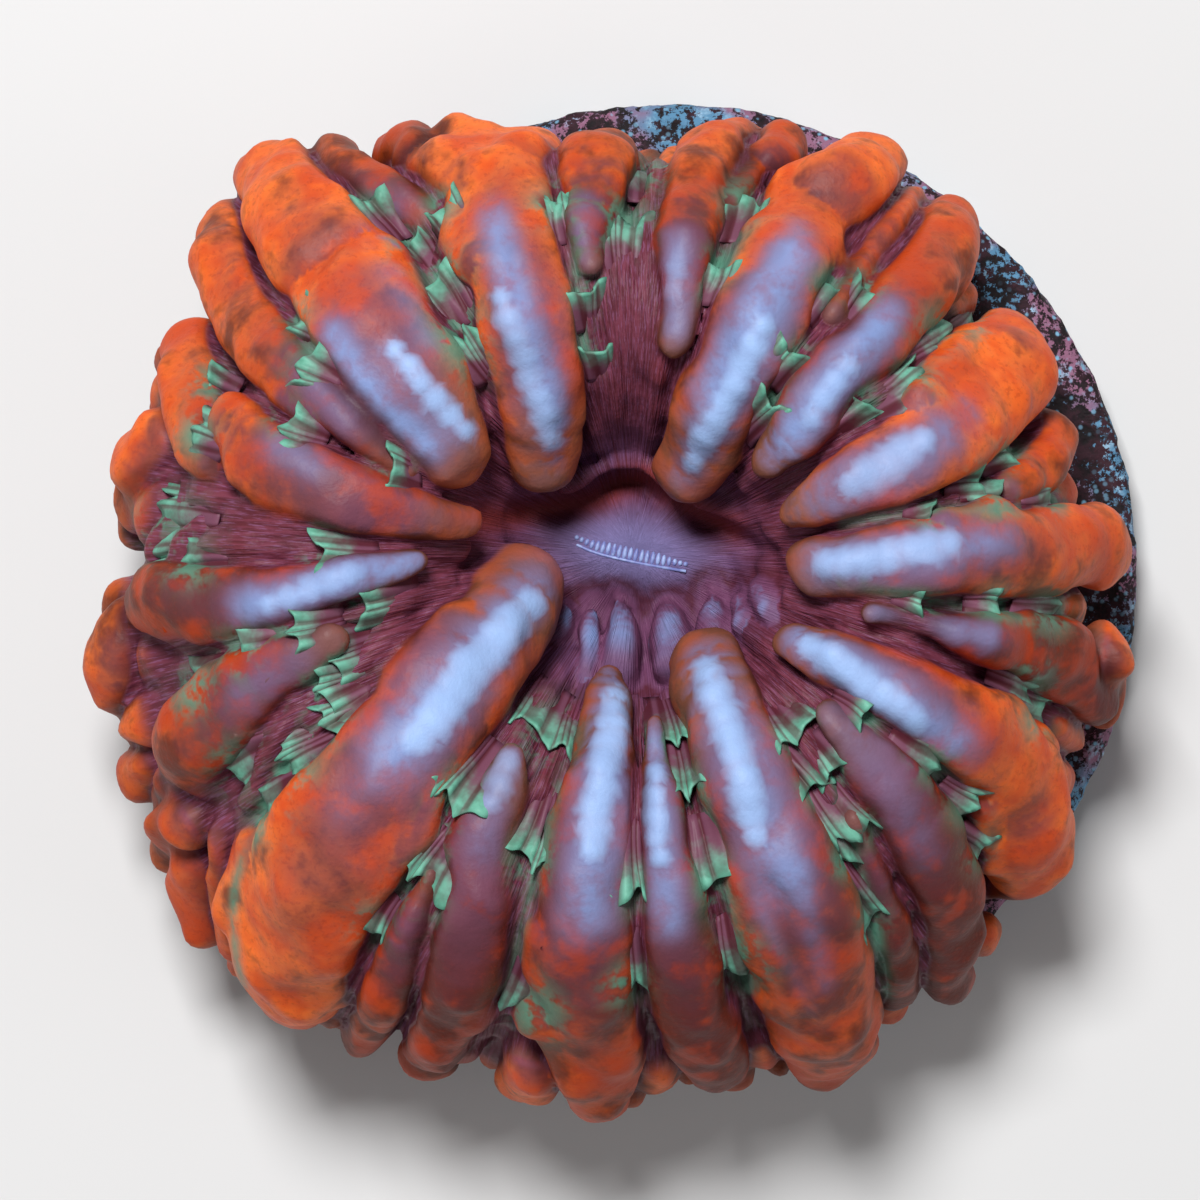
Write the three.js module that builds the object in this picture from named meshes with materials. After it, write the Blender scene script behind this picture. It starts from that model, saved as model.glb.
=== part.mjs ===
// A fleshy solitary coral polyp, swollen with water, sitting on a round ceramic frag disc.
// Millimetres, +Z up. The origin is the middle of the disc's flat underside.
// Bearings are in degrees about the mouth: 0 is +X, 90 is +Y.

import * as THREE from 'three';
import { mergeVertices } from 'three/addons/utils/BufferGeometryUtils.js';

// Driving dimensions
const DISC_RADIUS = 28.5;
const DISC_THICKNESS = 5;
const DISC_CHAMFER = 0.8;
const DISC_SIDES = 48;
const SEAT_GAP = 0.3;
const FOOT = DISC_THICKNESS + SEAT_GAP;

const MOUTH = new THREE.Vector2(-2, 1.3);
const BODY_CENTRE = new THREE.Vector2(-4.4, -2.0);
const BODY_RADIUS = 29.5;
const TYPICAL_LOBE = 2.5;
const LIFT_PER_WIDTH = 0.35;
const LOBE_CREASE = 0.5;
const ROOT_FILLET = 1.6;

// Faceting of the skin: how finely it is divided, and how it is shared out.
// Each pair is an angle down from straight up, on the even sphere and as seen from the heart of the body.
const SKIN_DETAIL = 20;
const SKIN_SHARE = [[0, 0], [40, 35], [92, 66], [152, 102], [180, 180]];
const HEART = new THREE.Vector3(-3.2, -0.4, 12);
const SKIN_START = 70;
const BEADS_PER_SPAN = 4;
const RELAX_ROUNDS = 10;
const RELAX_STEP = 0.4;

// The lobes that show from above. Each point is [bearing, distance from the mouth, half-width].
const CROWN_LOBES = {
  east: [[355, 10.6, 1.9], [358, 15, 2.4], [0, 20, 2.7], [1, 24.6, 2.6]],
  east_by_north: [[14, 9.6, 1.0], [17, 13, 2.2], [20, 17.5, 2.9], [25, 22.6, 3.3]],
  east_small: [[9, 21.5, 1.4], [13.5, 24.0, 2.3], [17.5, 24.2, 1.8]],
  north_east: [[35, 9.6, 1.3], [39, 13, 2.3], [42, 18, 2.4], [44.5, 24.4, 2.5]],
  north_east_slim: [[50, 17.5, 1.3], [51.5, 21, 1.9], [51.8, 24.6, 1.9]],
  north_big: [[57, 6, 2.1], [60, 10.5, 2.7], [62, 16, 3.2], [62.5, 21, 3.1], [60, 24.8, 2.5]],
  north_ripple: [[75, 20.8, 1.2], [73, 22.8, 1.8], [69, 24.6, 1.8]],
  north_ridge: [[79, 12.5, 1.2], [81, 17.5, 1.9], [79.5, 22.3, 2.4]],
  north_bulb: [[99, 16.5, 1.1], [97.5, 19.5, 2.1], [96, 21.9, 2.6]],
  north_west_big: [[136, 7.6, 1.9], [121, 10.8, 2.7], [113, 15.5, 3.0], [111.5, 20.5, 2.9], [108.5, 23, 2.9]],
  north_west_head: [[113, 23.4, 2.6], [117.5, 24.8, 2.7], [122, 26, 2.0]],
  north_west_small: [[121, 22.3, 1.4], [124, 25.6, 1.9], [128, 27.9, 1.8]],
  west_long: [[152, 12.3, 2.6], [145, 16, 3.9], [139, 20.5, 3.8], [135.5, 25, 3.3], [133.5, 29, 2.8]],
  west_rim: [
    [160, 13.8, 1.1], [155, 17.5, 1.9], [151.5, 21.6, 2.4],
    [148, 25.4, 2.5], [144.5, 28.6, 2.3], [140, 30.2, 1.7],
  ],
  west_fat: [[169.5, 12.8, 1.7], [169, 16.5, 2.6], [166.5, 20.2, 3.0], [163.5, 23.6, 2.3]],
  west_nub: [[168.5, 10.2, 1.0], [171, 11.8, 1.2]],
  west_column: [[167, 24.3, 1.9], [161, 26.5, 2.2], [155.5, 28, 2.1]],
  west_pale: [[182, 12.4, 0.8], [185, 16.9, 1.7], [187.5, 20.4, 2.0], [187, 24, 2.3], [185.5, 26.8, 2.1]],
  south_west_mid: [[196, 18, 1.3], [198.5, 21.8, 2.2], [202.5, 26.2, 2.7]],
  south_west_big: [
    [198, 6.8, 2.5], [215, 12.8, 3.6], [221, 18.5, 4.2],
    [225.5, 23.9, 4.6], [229.8, 29.1, 4.2], [231.7, 31.0, 3.6],
  ],
  south_finger_a: [[236, 21.5, 1.0], [239, 25.9, 1.7], [239.5, 29.5, 1.7], [239, 31.6, 1.7]],
  south_finger_b: [[240, 13.5, 0.9], [243, 19.5, 1.8], [245.5, 24.5, 2.4], [247, 28, 2.4]],
  south: [
    [258, 7.2, 0.9], [261.5, 10.9, 1.6], [262.5, 15, 2.3],
    [262.7, 19.5, 2.6], [263, 24, 2.8], [265.5, 29, 2.7],
  ],
  south_slim: [[277, 10, 0.8], [275, 15, 1.4], [275.4, 20, 1.9], [276.5, 24.7, 2.1], [278.5, 28.6, 2.0]],
  south_east_big: [
    [304, 7.8, 2.2], [298, 12.5, 3.2], [296, 17.3, 3.6],
    [294.5, 22, 3.9], [293, 26.7, 3.7], [292, 29.8, 3.0],
  ],
  south_east_slim: [[309, 19.5, 1.1], [304, 26, 1.8], [301, 29.8, 1.7]],
  south_east_dark: [[321, 14.5, 1.3], [318, 19, 2.4], [313.5, 24.2, 2.8], [308.5, 28.3, 2.7]],
  east_by_south: [
    [331, 10.5, 1.2], [330, 15, 2.4], [330, 20.2, 3.2],
    [328, 24.6, 3.3], [325.5, 28.2, 3.0], [320.5, 29.2, 2.5],
  ],
  east_pale: [[346, 14, 0.9], [346.5, 20, 1.6], [346.5, 24.3, 2.4], [343.5, 27, 2.3]],
};

// The lobes down the side wall. Each point is [bearing, distance, height above the foot, half-width].
const WALL_LOBES = {
  east_back: [[8, 25.6, 9, 2.0], [1, 26.9, 8, 2.1], [355, 26.9, 7, 1.8]],
  north_east_hip_a: [[28, 24.0, 11, 2.0], [29, 24.9, 8, 2.1], [30, 24.8, 5, 2.0]],
  north_east_hip_b: [[44, 25.4, 10.5, 2.2], [46, 26.2, 8, 2.2], [46, 26.0, 5, 2.1]],
  north_east_hip_c: [[58, 25.0, 11, 2.2], [58, 25.9, 8, 2.2], [57, 25.8, 5, 2.1]],
  north_hip_a: [[75, 23.2, 10.5, 2.0], [75, 24.2, 7.5, 2.1], [74, 24.2, 4.5, 2.0]],
  north_hip_b: [[92, 21.2, 10.5, 2.0], [90, 21.6, 7, 2.0], [89, 21.6, 4.2, 2.0]],
  north_west_hip_a: [[105, 23.0, 11, 2.4], [105, 23.5, 8, 2.4], [106, 23.4, 4.8, 2.2]],
  north_west_hip_b: [[118, 25.4, 11.5, 2.4], [119, 26.0, 8, 2.3], [120, 25.9, 4.6, 2.1]],
  north_west_hip_c: [[133, 29.4, 9.5, 2.4], [135, 30.2, 6.5, 2.4], [136, 29.8, 3.6, 2.2]],
  west_bulge: [[166, 28.2, 10.5, 2.2], [171, 28.4, 9, 2.7], [176, 27.6, 8, 2.0]],
  west_low: [[177, 29.4, 5, 1.6], [173, 29.6, 3.6, 1.7]],
  west_far: [[160, 28.4, 6.5, 1.9], [158, 28.8, 3.8, 1.9]],
  south_west_fold: [[190, 27.6, 11, 2.1], [195, 27.8, 9.5, 2.3]],
  south_west_bulge: [[187.5, 29.6, 9, 1.9], [192.5, 30.6, 7, 2.6], [197.5, 30.3, 5, 2.1]],
  south_west_knob: [[204, 31.6, 4.6, 2.0], [203, 30.4, 7, 1.8]],
  south_west_drop: [[211, 31.6, 6, 2.1], [212.5, 32, 3.6, 2.1]],
  south_west_column: [[208, 29.2, 11, 2.0], [214, 31.0, 9, 2.1], [221, 32.8, 5.4, 2.1]],
  south_west_slip: [[215, 28.8, 13, 1.5], [222, 31.4, 9.5, 1.7], [226.5, 33.0, 5, 1.7]],
  south_toe_a: [[234, 31.8, 3, 1.8], [236, 32.2, 5, 1.7]],
  south_toe_b: [[250, 30.2, 7.5, 1.9], [247.5, 31.9, 5, 2.2]],
  south_toe_c: [[255.5, 29.6, 4.5, 1.8], [256, 30.4, 2.6, 1.7]],
  south_lip: [[261, 30.0, 6, 2.1], [267.5, 30.8, 4.6, 2.7], [270, 30.2, 3.6, 2.2]],
  south_toe_d: [[274, 29.6, 3.6, 1.7], [276, 30.2, 2.4, 1.6]],
  south_toe_e: [[277.5, 29.6, 6.5, 1.9], [281, 30.9, 4, 2.0]],
  south_toe_f: [[284, 29.6, 5.5, 1.5], [285.5, 30.6, 3, 1.7]],
  south_toe_g: [[290, 30.6, 3.2, 1.7], [288, 29.8, 5, 1.5]],
  south_east_toe_a: [[299.5, 30.2, 3.2, 1.8], [301, 29.8, 6, 1.7]],
  south_east_toe_b: [[312, 30.4, 4.6, 1.8], [310, 29.6, 7.5, 1.8]],
  south_east_curl: [[321.5, 29.0, 7, 2.2], [318, 28.4, 4.6, 1.9]],
  east_hip: [[347, 27.8, 9, 2.3], [343, 28.6, 6, 2.2]],
  east_south_hip: [[331, 26.6, 9, 2.3], [331, 27.2, 6, 2.3], [332, 27.0, 3.4, 2.1]],
};

// The skirt of small lobes round the foot, tucked in most at one turn about the body's centre, in degrees
const SKIRT_COUNT = 26;
const SKIRT_TOP = 9.5;
const SKIRT_BOTTOM = 2.2;
const SKIRT_HALF_WIDTH = 2.4;
const SKIRT_INSET = 2.6;
const SKIRT_TUCK = 2.0;
const SKIRT_TUCK_TURN = 86;
const SKIRT_TUCK_SPREAD = 14;

// The small cones on the near side of the mouth: [bearing, distance, height over the basin, half-width]
const MOUTH_CONES = [
  [229, 5.6, 1.2, 0.7], [257, 4.9, 1.8, 0.85], [287, 5.0, 1.7, 0.85],
  [313, 5.6, 1.5, 0.7], [327, 6.6, 1.3, 0.9], [338, 7.6, 1.1, 0.8],
];

// The pleated frills between the lobes: [bearing, distance of the free edge, half-width, reach inwards]
const FRILLS = [
  [93, 19.7, 1.6, 4], [73, 21.3, 1.2, 3], [53, 19.3, 0.9, 3], [52, 14.9, 0.9, 3],
  [37, 22.6, 1.6, 4], [31, 19.4, 1.2, 3.5], [15, 22.6, 0.9, 3], [8, 21.7, 1.1, 3],
  [352, 24.6, 1.4, 3.5], [343, 24.6, 1.2, 3.5], [337.5, 26.0, 1.2, 3], [327, 21.2, 1.3, 3.5],
  [324.5, 24.6, 1.3, 3], [314, 15.8, 1.7, 3.5], [311.5, 21.0, 1.5, 4], [304.5, 25.6, 1.2, 4],
  [283, 14.6, 1.2, 4], [281.5, 20.3, 1.7, 5], [285.5, 24.8, 1.5, 4], [267.5, 20.2, 1.4, 5],
  [268.5, 25.2, 1.3, 4], [252, 19.4, 1.4, 4], [257, 27.2, 1.6, 4], [233.5, 18.4, 2.0, 4],
  [238, 23.0, 1.9, 4], [243.5, 12.4, 1.6, 3], [199, 19.4, 1.6, 3.5], [205, 20.4, 1.6, 3],
  [212.5, 24.2, 1.9, 4], [195.5, 23.8, 1.6, 3], [197.5, 27.0, 1.4, 3], [130, 16.5, 2.2, 3.5],
  [124, 20.2, 1.5, 4], [102, 20.8, 1.4, 3], [150, 22.4, 1.2, 3], [160, 21.4, 1.3, 3],
  [177, 27.4, 1.9, 4],
];
const FRILL_RISE = 1.9;
const FRILL_HALF_THICKNESS = 0.6;
const FRILL_PLEAT_SPACING = 1.6;

// Colours, as THREE takes them
const FLESH_COLOUR = 0xd9541f;
const DISC_COLOUR = 0x4d3a46;

const radians = THREE.MathUtils.degToRad;

// A place given by its bearing and distance from the mouth
function fromMouth(bearing, distance) {
  const outward = new THREE.Vector2(Math.cos(radians(bearing)), Math.sin(radians(bearing)));
  return outward.multiplyScalar(distance).add(MOUTH);
}

// The body is a stack of rings whose middles drift from the mouth out to the body's centre.
// This is the ring a place is on.
function ringAt(place) {
  const drift = BODY_CENTRE.clone().sub(MOUTH).divideScalar(BODY_RADIUS);
  const away = place.clone().sub(MOUTH);
  const along = away.dot(drift);
  const rest = 1 - drift.lengthSq();
  return (Math.sqrt(along * along + rest * away.lengthSq()) - along) / rest;
}

// Height of the lobes' crests above the foot, against the ring they are on
const CREST_PROFILE = [
  [0, 12], [4, 14.5], [6, 17.5], [9, 21], [13, 23.5], [17, 24],
  [21, 22.3], [25, 17.5], [27.5, 12], [29, 7], [31, 4],
];

// The body under the lobes, from the basin over the crown to the foot: ring against height above the foot
const CORE_PROFILE = [
  [0, 11.4], [3.5, 11.3], [6, 11.8], [8, 14.2], [10.5, 17.4], [14, 19.6], [17.5, 20.0], [21, 18.0],
  [24, 14.8], [26, 10.4], [26.8, 6.5], [26.6, 3], [25.8, 0], [24.6, -3],
];
const CORE_BOTTOM = -3;

function heightAt(profile, ring) {
  const next = profile.findIndex(([r], i) => i > 0 && ring <= r);
  if (next < 0) return profile[profile.length - 1][1];
  const [r0, z0] = profile[next - 1];
  const [r1, z1] = profile[next];
  return THREE.MathUtils.mapLinear(ring, r0, r1, z0, z1);
}

// Distance from a place to the core's surface, negative inside
function coreDistance(x, y, z) {
  const ring = ringAt(new THREE.Vector2(x, y));
  const height = z - FOOT;
  let nearest = height > CORE_BOTTOM ? Infinity : CORE_BOTTOM - height;
  let inside = false;
  const outline = [...CORE_PROFILE, [0, CORE_BOTTOM], [0, CORE_PROFILE[0][1]]];
  for (let i = 1; i < outline.length; i += 1) {
    const [r0, z0] = outline[i - 1];
    const [r1, z1] = outline[i];
    const crossing = r0 + ((r1 - r0) * (height - z0)) / (z1 - z0);
    if ((z0 > height) !== (z1 > height) && ring < crossing) inside = !inside;
    if (r0 === 0 && r1 === 0) continue;
    const span = (r1 - r0) ** 2 + (z1 - z0) ** 2;
    const share = THREE.MathUtils.clamp(((ring - r0) * (r1 - r0) + (height - z0) * (z1 - z0)) / span, 0, 1);
    nearest = Math.min(nearest, Math.hypot(ring - r0 - share * (r1 - r0), height - z0 - share * (z1 - z0)));
  }
  return inside ? -nearest : nearest;
}

// A lobe as a close row of beads along a smooth run of [x, y, z, half-width] middles
function makeLobe(points) {
  const middles = points.map(([x, y, z]) => new THREE.Vector3(x, y, z));
  const curve = new THREE.CatmullRomCurve3(middles, false, 'centripetal');
  const steps = (points.length - 1) * BEADS_PER_SPAN;
  const beads = Array.from({ length: steps + 1 }, (_, i) => {
    const before = Math.min(Math.floor(i / BEADS_PER_SPAN), points.length - 2);
    const share = THREE.MathUtils.smoothstep(i / BEADS_PER_SPAN - before, 0, 1);
    const halfWidth = THREE.MathUtils.lerp(points[before][3], points[before + 1][3], share);
    return [...curve.getPoint(i / steps).toArray(), halfWidth];
  });
  const bounds = new THREE.Sphere().setFromPoints(beads.map(([x, y, z]) => new THREE.Vector3(x, y, z)));
  return { beads, bounds, widest: Math.max(...points.map((p) => p[3])) };
}

// Distance from a place to a lobe's surface, negative inside
function lobeDistance({ beads }, x, y, z) {
  let nearest = Infinity;
  for (let i = 1; i < beads.length; i += 1) {
    const [ax, ay, az, aw] = beads[i - 1];
    const [bx, by, bz, bw] = beads[i];
    const [dx, dy, dz] = [bx - ax, by - ay, bz - az];
    const along = ((x - ax) * dx + (y - ay) * dy + (z - az) * dz) / (dx * dx + dy * dy + dz * dz);
    const share = Math.min(Math.max(along, 0), 1);
    const gap = Math.hypot(x - ax - share * dx, y - ay - share * dy, z - az - share * dz);
    nearest = Math.min(nearest, gap - aw - share * (bw - aw));
  }
  return nearest;
}

// Joins two distances with a fillet between their surfaces
function blend(a, b, fillet) {
  const overlap = Math.max(fillet - Math.abs(a - b), 0) / fillet;
  return Math.min(a, b) - (overlap * overlap * fillet) / 4;
}

function crownPoint([bearing, distance, halfWidth]) {
  const place = fromMouth(bearing, distance);
  const crest = heightAt(CREST_PROFILE, ringAt(place)) + LIFT_PER_WIDTH * (halfWidth - TYPICAL_LOBE);
  return [place.x, place.y, FOOT + Math.max(crest - halfWidth, halfWidth * 0.9), halfWidth];
}

function wallPoint([bearing, distance, height, halfWidth]) {
  const place = fromMouth(bearing, distance);
  return [place.x, place.y, FOOT + height, halfWidth];
}

function makeSkirt() {
  return Array.from({ length: SKIRT_COUNT }, (_, i) => {
    const turn = (i / SKIRT_COUNT) * Math.PI * 2;
    const halfWidth = SKIRT_HALF_WIDTH * (1 + 0.16 * Math.sin(i * 2.3));
    const top = SKIRT_TOP + 1.6 * Math.sin(i * 1.7 + 1);
    const fromTuck = (THREE.MathUtils.radToDeg(turn) - SKIRT_TUCK_TURN) / SKIRT_TUCK_SPREAD;
    const tuck = SKIRT_TUCK * Math.exp(-(fromTuck ** 2));
    const reach = BODY_RADIUS - SKIRT_INSET + 0.7 * Math.sin(i * 3.1) - tuck;
    const point = (radius, height) => [
      BODY_CENTRE.x + radius * Math.cos(turn),
      BODY_CENTRE.y + radius * Math.sin(turn),
      FOOT + height,
      halfWidth,
    ];
    return makeLobe([
      point(reach - 1.2, top),
      point(reach, (top + SKIRT_BOTTOM) / 2),
      point(reach - 0.8, SKIRT_BOTTOM),
    ]);
  });
}

function makeMouthCone([bearing, distance, height, halfWidth]) {
  const place = fromMouth(bearing, distance);
  const floor = FOOT + heightAt(CORE_PROFILE, ringAt(place));
  return makeLobe([
    [place.x, place.y, floor, halfWidth],
    [place.x, place.y, floor + height, halfWidth * 0.5],
  ]);
}

// A frill is a row of pleats that rise from the valley floor to a free edge facing away from the mouth
function makeFrill([bearing, distance, halfWidth, reach]) {
  const outward = fromMouth(bearing, 1).sub(MOUTH);
  const across = new THREE.Vector2(-outward.y, outward.x);
  const at = (radius, side, rise) => {
    const place = MOUTH.clone().addScaledVector(outward, radius).addScaledVector(across, side);
    return [place.x, place.y, FOOT + heightAt(CORE_PROFILE, ringAt(place)) + rise, FRILL_HALF_THICKNESS];
  };
  const pleats = Math.max(2, Math.round((2 * halfWidth) / FRILL_PLEAT_SPACING));
  return Array.from({ length: pleats }, (_, i) => {
    const side = THREE.MathUtils.mapLinear(i, 0, pleats - 1, -halfWidth, halfWidth) * 0.8;
    return makeLobe([
      at(distance - reach, side * 0.6, 0),
      at(distance - reach / 2, side * 0.8, FRILL_RISE * 0.8),
      at(distance, side, FRILL_RISE),
    ]);
  });
}

const LOBES = [
  ...Object.values(CROWN_LOBES).map((lobe) => makeLobe(lobe.map(crownPoint))),
  ...Object.values(WALL_LOBES).map((lobe) => makeLobe(lobe.map(wallPoint))),
  ...makeSkirt(),
  ...MOUTH_CONES.map(makeMouthCone),
  ...FRILLS.flatMap(makeFrill),
];

// Distance from a place to the polyp's skin, negative inside
function skinDistance(x, y, z) {
  let lobes = 1e3;
  const place = new THREE.Vector3(x, y, z);
  LOBES.forEach((lobe) => {
    if (lobe.bounds.distanceToPoint(place) - lobe.widest > lobes + LOBE_CREASE) return;
    lobes = blend(lobes, lobeDistance(lobe, x, y, z), LOBE_CREASE);
  });
  return blend(lobes, coreDistance(x, y, z), ROOT_FILLET);
}

// Moves a place straight back on to the skin, from the distances at the corners of a tetrahedron round it
const CORNERS = [[1, -1, -1], [-1, -1, 1], [-1, 1, -1], [1, 1, 1]];
const PROBES = CORNERS.map((corner) => new THREE.Vector3(...corner));
const PROBE_STEP = 0.05;

function settle(place) {
  const slope = new THREE.Vector3();
  let gap = 0;
  PROBES.forEach((probe) => {
    const { x, y, z } = place.clone().addScaledVector(probe, PROBE_STEP);
    const distance = skinDistance(x, y, z);
    gap += distance / PROBES.length;
    slope.addScaledVector(probe, distance / (PROBES.length * PROBE_STEP));
  });
  return place.addScaledVector(slope, -gap / Math.max(slope.lengthSq(), 0.25));
}

// Draws a direction of the even sphere towards the parts of the skin that need more facets
function shareOut(direction) {
  const angle = THREE.MathUtils.radToDeg(Math.acos(THREE.MathUtils.clamp(direction.z, -1, 1)));
  const next = Math.max(1, SKIN_SHARE.findIndex(([from], i) => i > 0 && angle <= from));
  const [from0, to0] = SKIN_SHARE[next - 1];
  const [from1, to1] = SKIN_SHARE[next];
  const tilt = radians(THREE.MathUtils.mapLinear(angle, from0, from1, to0, to1));
  const turn = Math.atan2(direction.y, direction.x);
  return new THREE.Vector3(Math.sin(tilt) * Math.cos(turn), Math.sin(tilt) * Math.sin(turn), Math.cos(tilt));
}

// Shrinks the skin from outside on to the lobes, along a direction from the heart
function shrink(direction) {
  const place = HEART.clone().addScaledVector(direction, SKIN_START);
  for (let i = 0; i < 90; i += 1) {
    const gap = skinDistance(place.x, place.y, place.z);
    if (gap < 0.02) break;
    place.addScaledVector(direction, -0.8 * gap);
  }
  return place;
}

// Evens out the facets: each corner moves towards the middle of its neighbours, and back on to the skin
function relax(places, index) {
  const sums = places.map(() => new THREE.Vector4(0, 0, 0, 0));
  for (let t = 0; t < index.length; t += 3) {
    for (let k = 0; k < 3; k += 1) {
      const { x, y, z } = places[index[t + ((k + 1) % 3)]];
      sums[index[t + k]].add(new THREE.Vector4(x, y, z, 1));
    }
  }
  return places.map((place, i) => {
    const { x, y, z, w } = sums[i];
    return settle(place.clone().lerp(new THREE.Vector3(x, y, z).divideScalar(w), RELAX_STEP));
  });
}

// The polyp: an even sphere shrunk on to the lobes, and flat where it sits on the disc
function makePolyp() {
  const ball = new THREE.IcosahedronGeometry(1, SKIN_DETAIL);
  ball.deleteAttribute('normal');
  ball.deleteAttribute('uv');
  const skin = mergeVertices(ball, 1e-4);
  const { position } = skin.attributes;
  let places = Array.from({ length: position.count }, (_, i) => {
    return shrink(shareOut(new THREE.Vector3().fromBufferAttribute(position, i)));
  });
  for (let round = 0; round < RELAX_ROUNDS; round += 1) places = relax(places, skin.index.array);
  places.forEach(({ x, y, z }, i) => position.setXYZ(i, x, y, Math.max(z, FOOT)));
  skin.computeVertexNormals();
  return skin;
}

function makeDisc() {
  const inner = DISC_RADIUS - DISC_CHAMFER;
  const profile = [
    [0, 0], [inner, 0], [DISC_RADIUS, DISC_CHAMFER], [DISC_RADIUS, DISC_THICKNESS - DISC_CHAMFER],
    [inner, DISC_THICKNESS], [0, DISC_THICKNESS],
  ].map(([r, z]) => new THREE.Vector2(r, z));
  return new THREE.LatheGeometry(profile, DISC_SIDES).rotateX(Math.PI / 2);
}

function part(name, geometry, colour, roughness) {
  const material = new THREE.MeshStandardMaterial({ color: colour, roughness, metalness: 0 });
  const mesh = new THREE.Mesh(geometry, material);
  mesh.name = name;
  return mesh;
}

const coral = new THREE.Group();
coral.add(part('polyp', makePolyp(), FLESH_COLOUR, 0.45));
coral.add(part('frag_disc', makeDisc(), DISC_COLOUR, 0.9));

export default coral;
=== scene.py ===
# A fleshy solitary coral polyp, swollen with water, on its round frag disc.
# The tables are in millimetres and degrees. Bearings turn about the mouth: 0 is +X, 90 is +Y.
# Every mesh is made in metres, in the solid model's own frame.

import math

import bmesh
import bpy
import numpy as np
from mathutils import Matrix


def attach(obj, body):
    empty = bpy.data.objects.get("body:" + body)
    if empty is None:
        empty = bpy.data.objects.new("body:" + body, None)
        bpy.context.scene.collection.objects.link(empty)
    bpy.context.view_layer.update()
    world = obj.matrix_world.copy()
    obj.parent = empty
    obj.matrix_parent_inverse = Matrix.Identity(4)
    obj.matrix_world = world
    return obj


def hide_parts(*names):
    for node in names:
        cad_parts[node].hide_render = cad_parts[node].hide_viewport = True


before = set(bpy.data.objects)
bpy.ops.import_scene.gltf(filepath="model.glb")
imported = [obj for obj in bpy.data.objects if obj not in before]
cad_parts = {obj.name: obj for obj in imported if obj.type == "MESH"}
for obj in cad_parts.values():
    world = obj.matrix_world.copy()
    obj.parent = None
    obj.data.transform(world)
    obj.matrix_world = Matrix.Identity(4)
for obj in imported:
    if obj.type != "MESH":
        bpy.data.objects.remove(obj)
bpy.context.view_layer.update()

# Driving dimensions
MM = 0.001
FAR = 1000.0
DISC_RADIUS = 28.5
DISC_THICKNESS = 5.0
SEAT_GAP = 0.3
FOOT = DISC_THICKNESS + SEAT_GAP
MOUTH = np.array([-2.0, 1.3])
BODY_CENTRE = np.array([-4.4, -2.0])
BODY_RADIUS = 29.5
TYPICAL_LOBE = 2.5
LIFT_PER_WIDTH = 0.35
LOBE_CREASE = 0.25
ROOT_FILLET = 0.9
BASIN_FILLET = 0.35
CROWN_SWELL = 1.09
FOLD_SWELL = 1.3
CREASE_WIDTH = 0.9
CREASE_DEPTH = 0.75

# The folds of the body that run out from the mouth
FINE_FOLD_COUNT = 118
FINE_FOLD_HEIGHT = 0.09
COARSE_FOLD_COUNT = 47
COARSE_FOLD_HEIGHT = 0.24

# Smooth unevenness, as (height, wavelength, seed): of the body, the flesh and the disc's crust
BODY_WAVES = [(0.12, 6, 3)]
FLESH_WAVES = [(0.27, 5.2, 7), (0.13, 2.6, 8), (0.04, 1.3, 9)]
CRUST_WAVES = [(0.09, 2.6, 21), (0.07, 1.1, 22), (0.05, 0.6, 23)]

# The block of space that the flesh is grown in
CELL = 0.3
BLOCK_LOW = np.array([-36.6, -34.8, 4.4])
BLOCK_HIGH = np.array([28.6, 29.6, 31.4])
BEADS_PER_SPAN = 4
LOBE_REACH = 3.0
FLESH_TRIANGLES = 190000

# Heights above the foot, against the ring round the mouth: the lobes' crests, and the body under them
TOP_POINTS = 11
CREST_PROFILE = [
    (0, 12), (4, 14.5), (6, 17.5), (9, 21), (13, 23.5), (17, 24), (21, 22.3), (25, 17.5),
    (27.5, 12), (29, 7), (31, 4),
]
CORE_PROFILE = [
    (0, 11.4), (3.5, 11.3), (6, 11.9), (8, 15.0), (10.5, 18.6), (14, 21.0), (17.5, 21.4), (21, 19.4),
    (24, 16.0), (26, 11.2), (26.8, 6.5), (26.6, 3), (25.8, 0), (24.6, -3),
]

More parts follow.
